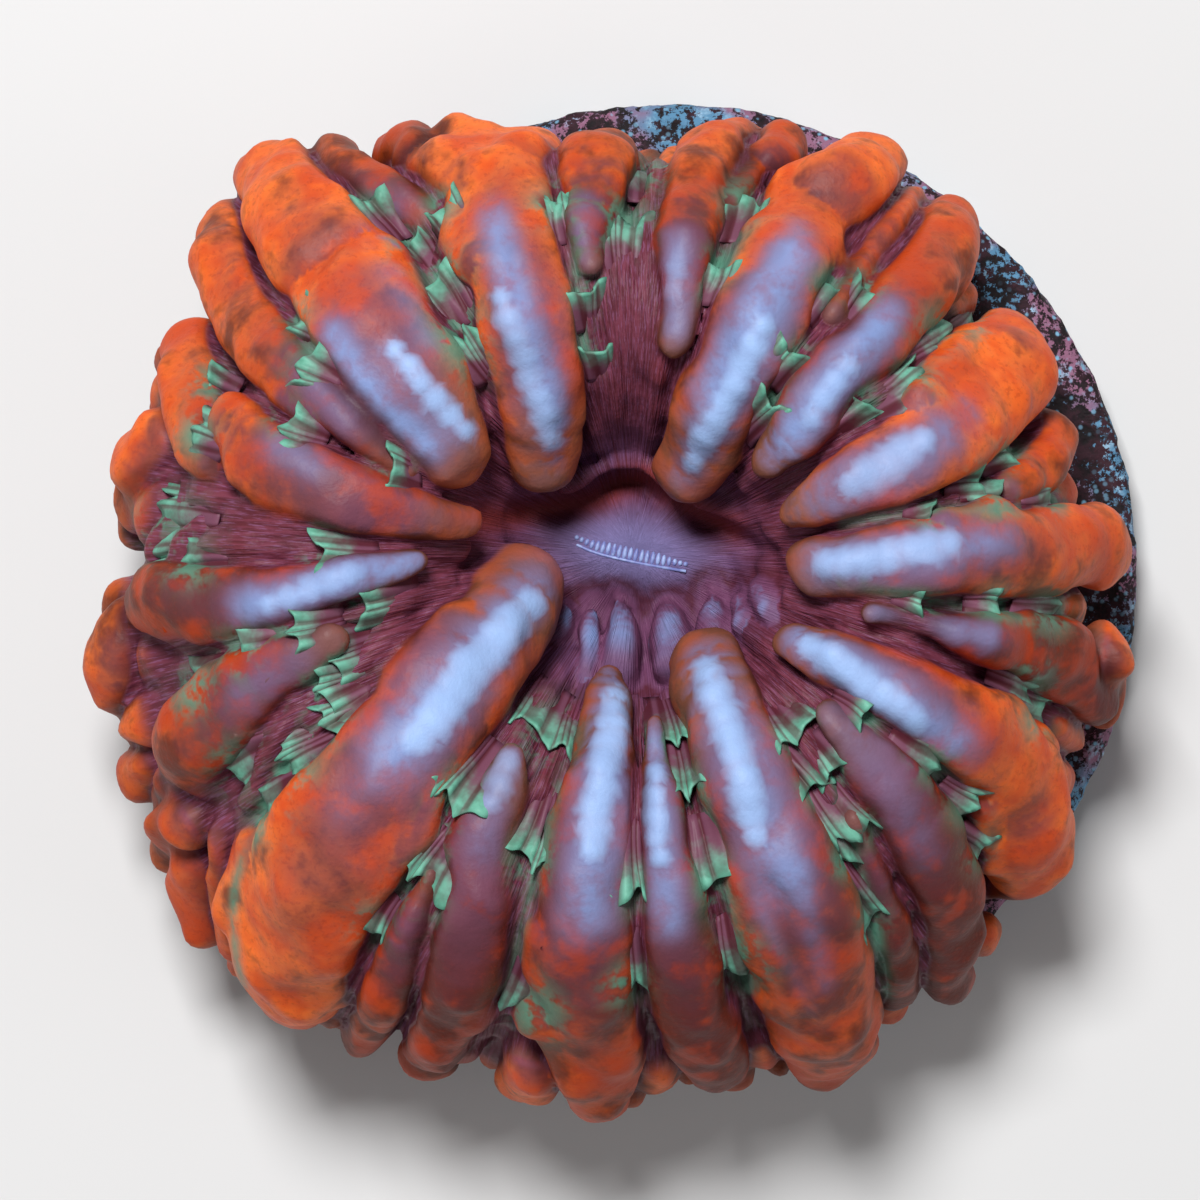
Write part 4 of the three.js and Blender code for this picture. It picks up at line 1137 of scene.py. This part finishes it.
def comb_tree(material):
    """Geometry nodes that stand a row of teeth along a curve, with the tube of the lip under them."""
    tree = bpy.data.node_groups.new("mouth comb", "GeometryNodeTree")
    face = tree.interface
    face.new_socket("Geometry", in_out="INPUT", socket_type="NodeSocketGeometry")
    sockets = {
        name: face.new_socket(name, in_out="INPUT", socket_type=f"NodeSocket{kind}").identifier
        for name, (kind, _) in COMB_SIZES.items()
    }
    face.new_socket("Geometry", in_out="OUTPUT", socket_type="NodeSocketGeometry")
    given = add_node(tree, "NodeGroupInput").outputs
    row = add_node(tree, "GeometryNodeResampleCurve", mode="COUNT")
    tooth = add_node(tree, "GeometryNodeMeshUVSphere", [("Segments", 10), ("Rings", 8), ("Radius", 1.0)])
    half = add_node(tree, "ShaderNodeMath", [(1, 0.5)], operation="MULTIPLY")
    place = add_node(tree, "GeometryNodeSplineParameter")
    swell = add_node(tree, "ShaderNodeMath", [(1, 0.5)], operation="PINGPONG")
    taper = add_node(
        tree, "ShaderNodeMapRange", [("From Max", 0.3), ("To Min", 0.35)], interpolation_type="SMOOTHSTEP"
    )
    tall = add_node(tree, "ShaderNodeMath", operation="MULTIPLY")
    size = add_node(tree, "ShaderNodeCombineXYZ")
    tangent = add_node(tree, "GeometryNodeInputTangent")
    turn = add_node(tree, "FunctionNodeAlignRotationToVector", axis="X")
    stand = add_node(tree, "GeometryNodeInstanceOnPoints")
    ring = add_node(tree, "GeometryNodeCurvePrimitiveCircle", [("Resolution", 8)])
    tube = add_node(tree, "GeometryNodeCurveToMesh", [("Fill Caps", True)])
    down = add_node(tree, "ShaderNodeMath", [(1, -0.5)], operation="MULTIPLY")
    shift = add_node(tree, "ShaderNodeCombineXYZ")
    moved = add_node(tree, "GeometryNodeTransform")
    both = add_node(tree, "GeometryNodeJoinGeometry")
    whole = add_node(tree, "GeometryNodeRealizeInstances")
    paint = add_node(tree, "GeometryNodeSetMaterial", [("Material", material)])
    result = add_node(tree, "NodeGroupOutput")
    for source, target, name in [
        (given["Geometry"], row, "Curve"), (given["Teeth"], row, "Count"),
        (given["Tooth length"], half, 0), (given["Tooth half-width"], size, "X"),
        (place.outputs["Factor"], swell, 0), (swell.outputs[0], taper, "Value"),
        (half.outputs[0], tall, 0), (taper.outputs["Result"], tall, 1),
        (tall.outputs[0], size, "Y"), (given["Tooth half-width"], size, "Z"),
        (tangent.outputs[0], turn, "Vector"), (row.outputs["Curve"], stand, "Points"),
        (tooth.outputs["Mesh"], stand, "Instance"), (turn.outputs["Rotation"], stand, "Rotation"),
        (size.outputs["Vector"], stand, "Scale"), (given["Lip half-width"], ring, "Radius"),
        (given["Geometry"], tube, "Curve"), (ring.outputs["Curve"], tube, "Profile Curve"),
        (given["Tooth length"], down, 0), (down.outputs[0], shift, "Y"),
        (tube.outputs["Mesh"], moved, "Geometry"), (shift.outputs["Vector"], moved, "Translation"),
        (stand.outputs["Instances"], both, "Geometry"), (moved.outputs["Geometry"], both, "Geometry"),
        (both.outputs["Geometry"], whole, "Geometry"), (whole.outputs["Geometry"], paint, "Geometry"),
        (paint.outputs["Geometry"], result, "Geometry"),
    ]:
        tree.links.new(source, target.inputs[name])
    return tree, sockets


def make_comb(block, material):
    """The comb of fine teeth inside the mouth's slit."""
    heights = top_surface(block)
    foot = catmull(MOUTH_LIP, 5)
    top = catmull(MOUTH_COMB, 5)
    middle = (foot + top) / 2
    z = sample_plan(heights, middle[:, 0], middle[:, 1]) - 0.03
    curve = bpy.data.curves.new("comb line", "CURVE")
    curve.dimensions = "3D"
    line = curve.splines.new("POLY")
    line.points.add(len(middle) - 1)
    for point, (x, y), height in zip(line.points, middle, z):
        point.co = (x * MM, y * MM, height * MM, 1)
    piece = bpy.data.objects.new("mouth_comb_line", curve)
    bpy.context.scene.collection.objects.link(piece)
    tree, sockets = comb_tree(material)
    grow = piece.modifiers.new("comb", "NODES")
    grow.node_group = tree
    for name, (_, value) in COMB_SIZES.items():
        grow[sockets[name]] = value
    comb = bpy.data.objects.new("mouth_comb", finished_mesh(piece))
    bpy.context.scene.collection.objects.link(comb)
    bpy.data.objects.remove(piece)
    return comb


# The disc


def make_disc():
    """The frag disc: rings of corners from the middle of the top round to the middle of the underside."""
    inner = DISC_RADIUS - 0.8
    steps = 360
    top = [(r, DISC_THICKNESS) for r in np.linspace(14, inner, 46)]
    edge = [
        (DISC_RADIUS - 0.45, DISC_THICKNESS - 0.12), (DISC_RADIUS - 0.15, DISC_THICKNESS - 0.4),
        *[(DISC_RADIUS, z) for z in np.linspace(DISC_THICKNESS - 0.9, 0.9, 12)],
        (DISC_RADIUS - 0.15, 0.4), (DISC_RADIUS - 0.45, 0.12), (inner, 0.0),
    ]
    profile = [(0.0, DISC_THICKNESS), (7.0, DISC_THICKNESS)] + top + edge + [(14.0, 0.0), (0.0, 0.0)]
    turn = np.linspace(0, 2 * math.pi, steps, endpoint=False)
    rings = np.array([[(r * math.cos(a), r * math.sin(a), z) for a in turn] for r, z in profile[1:-1]])
    radius = np.hypot(rings[:, :, 0], rings[:, :, 1])
    x, y, z = rings[:, :, 0], rings[:, :, 1], rings[:, :, 2]
    rough = waves(CRUST_WAVES, x, y, z)
    shown = smooth_step(15, 18, radius) * (z > 0.05)
    rings[:, :, 2] += np.where(z > DISC_THICKNESS - 0.5, (rough - 0.2) * shown, 0)
    push = (rough - 0.15) * smooth_step(DISC_RADIUS - 1.2, DISC_RADIUS - 0.2, radius) * shown
    rings[:, :, 0] += push * x / radius
    rings[:, :, 1] += push * y / radius
    places = np.vstack([[(0, 0, DISC_THICKNESS)], rings.reshape(-1, 3), [(0, 0, 0)]])
    index = 1 + np.arange(rings.shape[0] * steps).reshape(-1, steps)
    after = np.roll(index, -1, axis=1)
    walls = np.stack([index[:-1], index[1:], after[1:], after[:-1]], axis=2).reshape(-1, 4)
    piece = new_object("disc_crust", places, walls)
    close_poles(piece)
    x, y, _ = places_of(piece.data).T
    store(piece.data, "edge", smooth_step(DISC_RADIUS - 2.5, DISC_RADIUS - 0.5, np.hypot(x, y)))
    return piece


def close_poles(piece):
    shape = bmesh.new()
    shape.from_mesh(piece.data)
    shape.verts.ensure_lookup_table()
    loose = [v for v in shape.verts if not v.link_edges]
    bmesh.ops.delete(shape, geom=loose, context="VERTS")
    bmesh.ops.holes_fill(shape, edges=shape.edges)
    caps = [f for f in shape.faces if len(f.verts) > 4]
    bmesh.ops.poke(shape, faces=caps)
    bmesh.ops.recalc_face_normals(shape, faces=shape.faces)
    shape.to_mesh(piece.data)
    shape.free()
    piece.data.shade_smooth()


# Materials


class Paint:
    """Builds one material's nodes."""

    def __init__(self, name):
        self.material = bpy.data.materials.new(name)
        self.material.use_nodes = True
        self.nodes = self.material.node_tree.nodes
        self.links = self.material.node_tree.links
        self.shader = self.nodes["Principled BSDF"]

    def put(self, socket, value):
        if isinstance(value, bpy.types.NodeSocket):
            self.links.new(value, socket)
        else:
            socket.default_value = value

    def attribute(self, name, vector=False):
        node = self.nodes.new("ShaderNodeAttribute")
        node.attribute_name = name
        return node.outputs["Vector" if vector else "Fac"]

    def place(self):
        return self.nodes.new("ShaderNodeTexCoord").outputs["Object"]

    def noise(self, scale, detail=3.0, roughness=0.55, where=None, distortion=0.0):
        node = self.nodes.new("ShaderNodeTexNoise")
        node.inputs["Scale"].default_value = scale
        node.inputs["Detail"].default_value = detail
        node.inputs["Roughness"].default_value = roughness
        node.inputs["Distortion"].default_value = distortion
        self.links.new(where or self.place(), node.inputs["Vector"])
        return node.outputs["Fac"]

    def dots(self, scale):
        node = self.nodes.new("ShaderNodeTexVoronoi")
        node.inputs["Scale"].default_value = scale
        self.links.new(self.place(), node.inputs["Vector"])
        return node.outputs["Distance"]

    def math(self, operation, a, b, clamp=False):
        node = self.nodes.new("ShaderNodeMath")
        node.operation = operation
        node.use_clamp = clamp
        self.put(node.inputs[0], a)
        self.put(node.inputs[1], b)
        return node.outputs[0]

    def times(self, a, b):
        return self.math("MULTIPLY", a, b)

    def fade(self, value, low, high, out_low=0.0, out_high=1.0):
        node = self.nodes.new("ShaderNodeMapRange")
        node.interpolation_type = "SMOOTHSTEP"
        self.put(node.inputs["Value"], value)
        node.inputs["From Min"].default_value = low
        node.inputs["From Max"].default_value = high
        node.inputs["To Min"].default_value = out_low
        node.inputs["To Max"].default_value = out_high
        return node.outputs["Result"]

    def mix(self, share, a, b):
        node = self.nodes.new("ShaderNodeMix")
        node.data_type = "RGBA"
        self.put(node.inputs["Factor"], share)
        self.put(node.inputs["A"], colour(a))
        self.put(node.inputs["B"], colour(b))
        return node.outputs["Result"]

    def bump(self, height, distance, strength=1.0, over=None):
        node = self.nodes.new("ShaderNodeBump")
        node.inputs["Distance"].default_value = distance
        node.inputs["Strength"].default_value = strength
        self.put(node.inputs["Height"], height)
        if over is not None:
            self.links.new(over, node.inputs["Normal"])
        return node.outputs["Normal"]

    def finish(self, base, normal=None, **sockets):
        self.put(self.shader.inputs["Base Color"], base)
        if normal is not None:
            self.links.new(normal, self.shader.inputs["Normal"])
        for name, value in sockets.items():
            self.put(self.shader.inputs[name.replace("_", " ")], value)
        return self.material


def colour(value):
    """A colour given as red, green and blue from 0 to 255, as a shader takes it."""
    if isinstance(value, bpy.types.NodeSocket):
        return value
    parts = [v / 255 for v in value]
    return [p / 12.92 if p <= 0.04045 else ((p + 0.055) / 1.055) ** 2.4 for p in parts] + [1.0]


ORANGE = (208, 76, 24)
BRIGHT_ORANGE = (244, 118, 44)
RUST = (150, 46, 14)
# Dark rust: the rusty blotches, and also painted shade in the creases and towards the foot
DARK_RUST_AND_SHADE = (66, 20, 16)
# Plum: the floor of the furrows and the frills' roots, and also painted shade in the furrows and round the
# tongues
PLUM_AND_SHADE = (84, 34, 46)
MAROON = (112, 52, 70)
BROWN = (96, 52, 62)
DUSK = (112, 66, 86)
LAVENDER = (128, 160, 214)
PEARL = (152, 182, 228)
OLIVE = (128, 88, 68)
MAUVE = (134, 88, 124)
BASIN = (116, 82, 124)
MOUND = (140, 134, 190)
TONGUE = (112, 66, 98)
# Painted shade for the hollow under the basin's far lips
CAVITY_SHADE = (150, 58, 46)
SEA_GREEN = (80, 140, 118)
PALE_GREEN = (108, 174, 152)
COMB_BLUE = (116, 124, 186)
COMB_PALE = (154, 172, 220)
CERAMIC = (16, 8, 14)
CERAMIC_WARM = (52, 24, 36)
CRUST_BLUE = (84, 132, 166)
CRUST_PINK = (138, 94, 120)
CRUST_PALE = (146, 182, 208)
CRUST_DOT = (120, 170, 200)
FLOOR_PALE = (214, 214, 214)
FLOOR_SHADE = (204, 204, 206)


def flank_colours(p, tone, clouds, mottle, speckle):
    """Orange with rusty blotches, which spread over the lobes of a low tone."""
    orange = p.mix(p.fade(clouds, 0.35, 0.65), ORANGE, BRIGHT_ORANGE)
    orange = p.mix(p.fade(tone, 0.95, 0.45, 0.0, 0.85), orange, RUST)
    cut = p.fade(tone, 0.3, 1.0, 0.40, 0.585)
    blotch = p.fade(p.math("SUBTRACT", mottle, cut), -0.07, 0.11)
    orange = p.mix(p.times(blotch, 0.8), orange, DARK_RUST_AND_SHADE)
    return p.mix(p.times(p.fade(speckle, 0.5, 0.72), 0.35), orange, RUST)


def crest_colours(p, skin, tone, mottle, patches):
    """Dusky crests with grey-blue clouds and the white streaks."""
    crest, along, haze = p.attribute("crest"), p.attribute("along"), p.attribute("haze")
    top = p.fade(crest, 0.72, 0.97)
    dusk = p.times(p.times(top, p.fade(mottle, 0.34, 0.52, 0.4, 1.0)), p.fade(tone, 1.0, 0.6, 0.75, 0.95))
    skin = p.mix(dusk, skin, p.mix(p.fade(along, 0.35, 0.75), DUSK, BROWN))
    skin = p.mix(p.times(p.fade(along, 0.3, 0.0), 0.55), skin, OLIVE)
    cloudy = p.times(haze, p.fade(patches, 0.25, 0.6, 0.65, 1.0))
    skin = p.mix(p.times(p.fade(haze, 0.0, 0.7), 0.65), skin, DUSK)
    skin = p.mix(p.times(p.math("POWER", cloudy, 1.7), 0.88), skin, LAVENDER)
    return p.mix(p.attribute("streak"), skin, PEARL)


def floor_colours(p, stripes, fine_stripes):
    """The striped plum floor of the furrows and of the basin."""
    floor = p.mix(p.fade(stripes, 0.35, 0.65), PLUM_AND_SHADE, MAROON)
    floor = p.mix(p.times(p.fade(fine_stripes, 0.52, 0.66), 0.5), floor, MAUVE)
    return p.mix(p.times(p.attribute("basin"), 0.85), floor, p.mix(p.fade(stripes, 0.2, 0.8), PLUM_AND_SHADE, BASIN))


def mouth_colours(p, skin, stripes):
    """The pale swelling round the mouth, painted shade in the hollow behind it, and the tongues in front with
    painted shade round them and a painted highlight along their crests.
    """
    crest, along = p.attribute("crest"), p.attribute("along")
    skin = p.mix(p.times(p.attribute("mound"), p.fade(stripes, 0.3, 0.7, 0.75, 0.95)), skin, MOUND)
    # Painted shade in the hollow under the far lips
    skin = p.mix(p.times(p.attribute("cavity_shade"), 0.7), skin, CAVITY_SHADE)
    # Painted shade in the crevices round the tongues
    skin = p.mix(p.times(p.attribute("moat_shade"), 0.8), skin, PLUM_AND_SHADE)
    # Painted highlight: lavender along the tongues' crests, strongest near their tips
    gleam = p.times(p.fade(crest, 0.72, 1.0), p.fade(along, 0.95, 0.35, 0.1, 0.8))
    return p.mix(p.attribute("tongue"), skin, p.mix(gleam, TONGUE, LAVENDER))


def flesh_paint():
    """The flesh: orange flanks, clouded crests with white beads, and plum furrows, with painted shade in the
    creases, the furrows and low down.
    """
    p = Paint("coral flesh")
    tone, furrow, grain = p.attribute("tone"), p.attribute("furrow"), p.attribute("grain", vector=True)
    clouds = p.noise(260, 3, 0.6, distortion=0.25)
    patches = p.noise(520, 3.5, 0.65)
    speckle = p.noise(2600, 2, 0.7)
    stripes = p.noise(9.0, 2, 0.5, where=grain)
    fine_stripes = p.noise(26.0, 2, 0.5, where=grain)
    mottle = p.math("ADD", p.times(clouds, 0.62), p.times(patches, 0.38))

    skin = flank_colours(p, tone, clouds, mottle, speckle)
    skin = crest_colours(p, skin, tone, mottle, patches)
    # Painted shade: the creases between the lobes are darkened
    skin = p.mix(p.times(p.attribute("crease"), p.fade(clouds, 0.3, 0.6, 0.45, 0.85)), skin, DARK_RUST_AND_SHADE)
    # Painted shade: the furrows, where the flesh crowds round, are darkened towards plum
    skin = p.mix(p.times(p.fade(furrow, 0.15, 0.8), 0.75), skin, PLUM_AND_SHADE)
    # Painted shade: the flesh darkens towards the foot, where less light reaches
    skin = p.mix(p.times(p.attribute("low"), 0.45), skin, DARK_RUST_AND_SHADE)

    depth = p.math("MULTIPLY", p.fade(p.attribute("rise"), 0.1, 0.42), p.fade(furrow, 0.95, 0.35), clamp=True)
    depth = p.times(depth, p.math("SUBTRACT", 1.0, p.times(p.attribute("fold"), 0.85)))
    skin = p.mix(depth, floor_colours(p, stripes, fine_stripes), skin)
    hidden = p.fade(p.attribute("crest"), 0.97, 0.8)
    green = p.times(p.times(p.attribute("verdure"), p.fade(patches, 0.42, 0.56)), hidden)
    skin = p.mix(p.times(green, 0.85), skin, SEA_GREEN)
    skin = p.mix(p.times(p.attribute("vein"), p.fade(patches, 0.3, 0.5, 0.25, 0.85)), skin, SEA_GREEN)
    skin = mouth_colours(p, skin, stripes)

    pores = p.bump(speckle, 0.00006, 0.5)
    ridges = p.bump(p.times(stripes, p.fade(depth, 1.0, 0.2)), 0.00022, 0.7, over=pores)
    lumps = p.bump(patches, 0.0002, 0.5, over=ridges)
    return p.finish(skin, lumps, Roughness=0.5, Specular_IOR_Level=0.18)


def frill_paint():
    """The frills: sea green with plum roots and fine stripes down the pleats."""
    p = Paint("green frill")
    edge, stripe = p.attribute("edge"), p.attribute("stripe")
    wander = p.noise(700, 3, 0.6)
    green = p.mix(p.fade(wander, 0.35, 0.65), SEA_GREEN, PALE_GREEN)
    reach = p.math("ADD", edge, p.times(p.math("SUBTRACT", wander, 0.5), 0.7))
    shown = p.math("MULTIPLY", p.fade(reach, 0.3, 0.95), p.fade(stripe, -0.7, 0.5, 0.35, 1.0), clamp=True)
    base = p.mix(shown, p.mix(p.fade(stripe, -0.8, 0.8), PLUM_AND_SHADE, DUSK), green)
    base = p.mix(p.fade(edge, 0.9, 1.0, 0.0, 0.3), base, PALE_GREEN)
    rough = p.bump(wander, 0.0001, 0.4)
    return p.finish(base, rough, Roughness=0.5, Specular_IOR_Level=0.2)


def comb_paint():
    p = Paint("mouth comb")
    wander = p.noise(1800, 2, 0.5)
    base = p.mix(p.fade(wander, 0.35, 0.65), COMB_BLUE, COMB_PALE)
    return p.finish(base, p.bump(wander, 0.00004, 0.4), Roughness=0.45)


def disc_paint():
    """The disc: near-black ceramic with coralline crust in pale blue, cyan and pink patches."""
    p = Paint("encrusted ceramic")
    blotches = p.noise(190, 4, 0.65, distortion=1.2)
    small = p.noise(620, 4, 0.7)
    tint = p.noise(150, 2, 0.6)
    dots = p.dots(1500)
    base = p.mix(p.fade(small, 0.4, 0.62), CERAMIC, CERAMIC_WARM)
    crust = p.mix(p.fade(tint, 0.42, 0.52), CRUST_BLUE, CRUST_PINK)
    crust = p.mix(p.fade(small, 0.5, 0.7), crust, CRUST_PALE)
    specks = p.noise(1700, 4, 0.75)
    edge = p.math("MULTIPLY", p.attribute("edge"), 0.05)
    cover = p.math("ADD", p.math("ADD", p.times(blotches, 0.35), p.times(specks, 0.65)), edge)
    base = p.mix(p.fade(cover, 0.525, 0.57), base, crust)
    base = p.mix(p.times(p.fade(dots, 0.3, 0.12), p.fade(tint, 0.3, 0.6)), base, CRUST_DOT)
    rough = p.bump(small, 0.0003, 0.8)
    return p.finish(base, p.bump(blotches, 0.0004, 0.6, over=rough), Roughness=0.75, Specular_IOR_Level=0.3)


def floor_paint():
    p = Paint("pale floor")
    wander = p.noise(40, 3, 0.5)
    base = p.mix(p.times(wander, 0.2), FLOOR_PALE, FLOOR_SHADE)
    return p.finish(base, Roughness=0.85, Specular_IOR_Level=0.2)


# The studio


def make_floor():
    corners = [(-1, -1, 0), (1, -1, 0), (1, 1, 0), (-1, 1, 0)]
    piece = new_object("floor", FLOOR_REACH * np.array(corners), [(0, 1, 2, 3)])
    piece.data.materials.append(floor_paint())


def make_camera():
    camera = bpy.data.cameras.new("camera")
    camera.lens = CAMERA_LENS
    camera.sensor_width = 36
    camera.clip_start = 0.01
    holder = bpy.data.objects.new("camera", camera)
    holder.location = [v * MM for v in CAMERA_PLACE]
    bpy.context.scene.collection.objects.link(holder)
    bpy.context.scene.camera = holder


def make_light(name, place, size, power):
    lamp = bpy.data.lights.new(name, "AREA")
    lamp.shape = "SQUARE"
    lamp.size = size
    lamp.energy = power
    holder = bpy.data.objects.new(name, lamp)
    holder.location = place
    aim = -holder.location.normalized()
    holder.rotation_euler = aim.to_track_quat("-Z", "Y").to_euler()
    bpy.context.scene.collection.objects.link(holder)


def make_studio():
    make_floor()
    make_camera()
    for name, place, size, power in LIGHTS:
        make_light(name, place, size, power)
    world = bpy.data.worlds.new("studio")
    world.use_nodes = True
    world.node_tree.nodes["Background"].inputs["Color"].default_value = (1, 1, 1, 1)
    world.node_tree.nodes["Background"].inputs["Strength"].default_value = WORLD_STRENGTH
    bpy.context.scene.world = world
    bpy.context.scene.view_settings.view_transform = "Standard"


# Putting it together


def seat(piece, material):
    if material is not None:
        piece.data.materials.clear()
        piece.data.materials.append(material)
    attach(piece, "root")


block = grow_flesh()
flesh = make_flesh(block)
frills = make_frills(block)
comb = make_comb(block, comb_paint())
disc = make_disc()

seat(flesh, flesh_paint())
seat(frills, frill_paint())
seat(comb, None)
seat(disc, disc_paint())
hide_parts("polyp")
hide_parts("frag_disc")
make_studio()
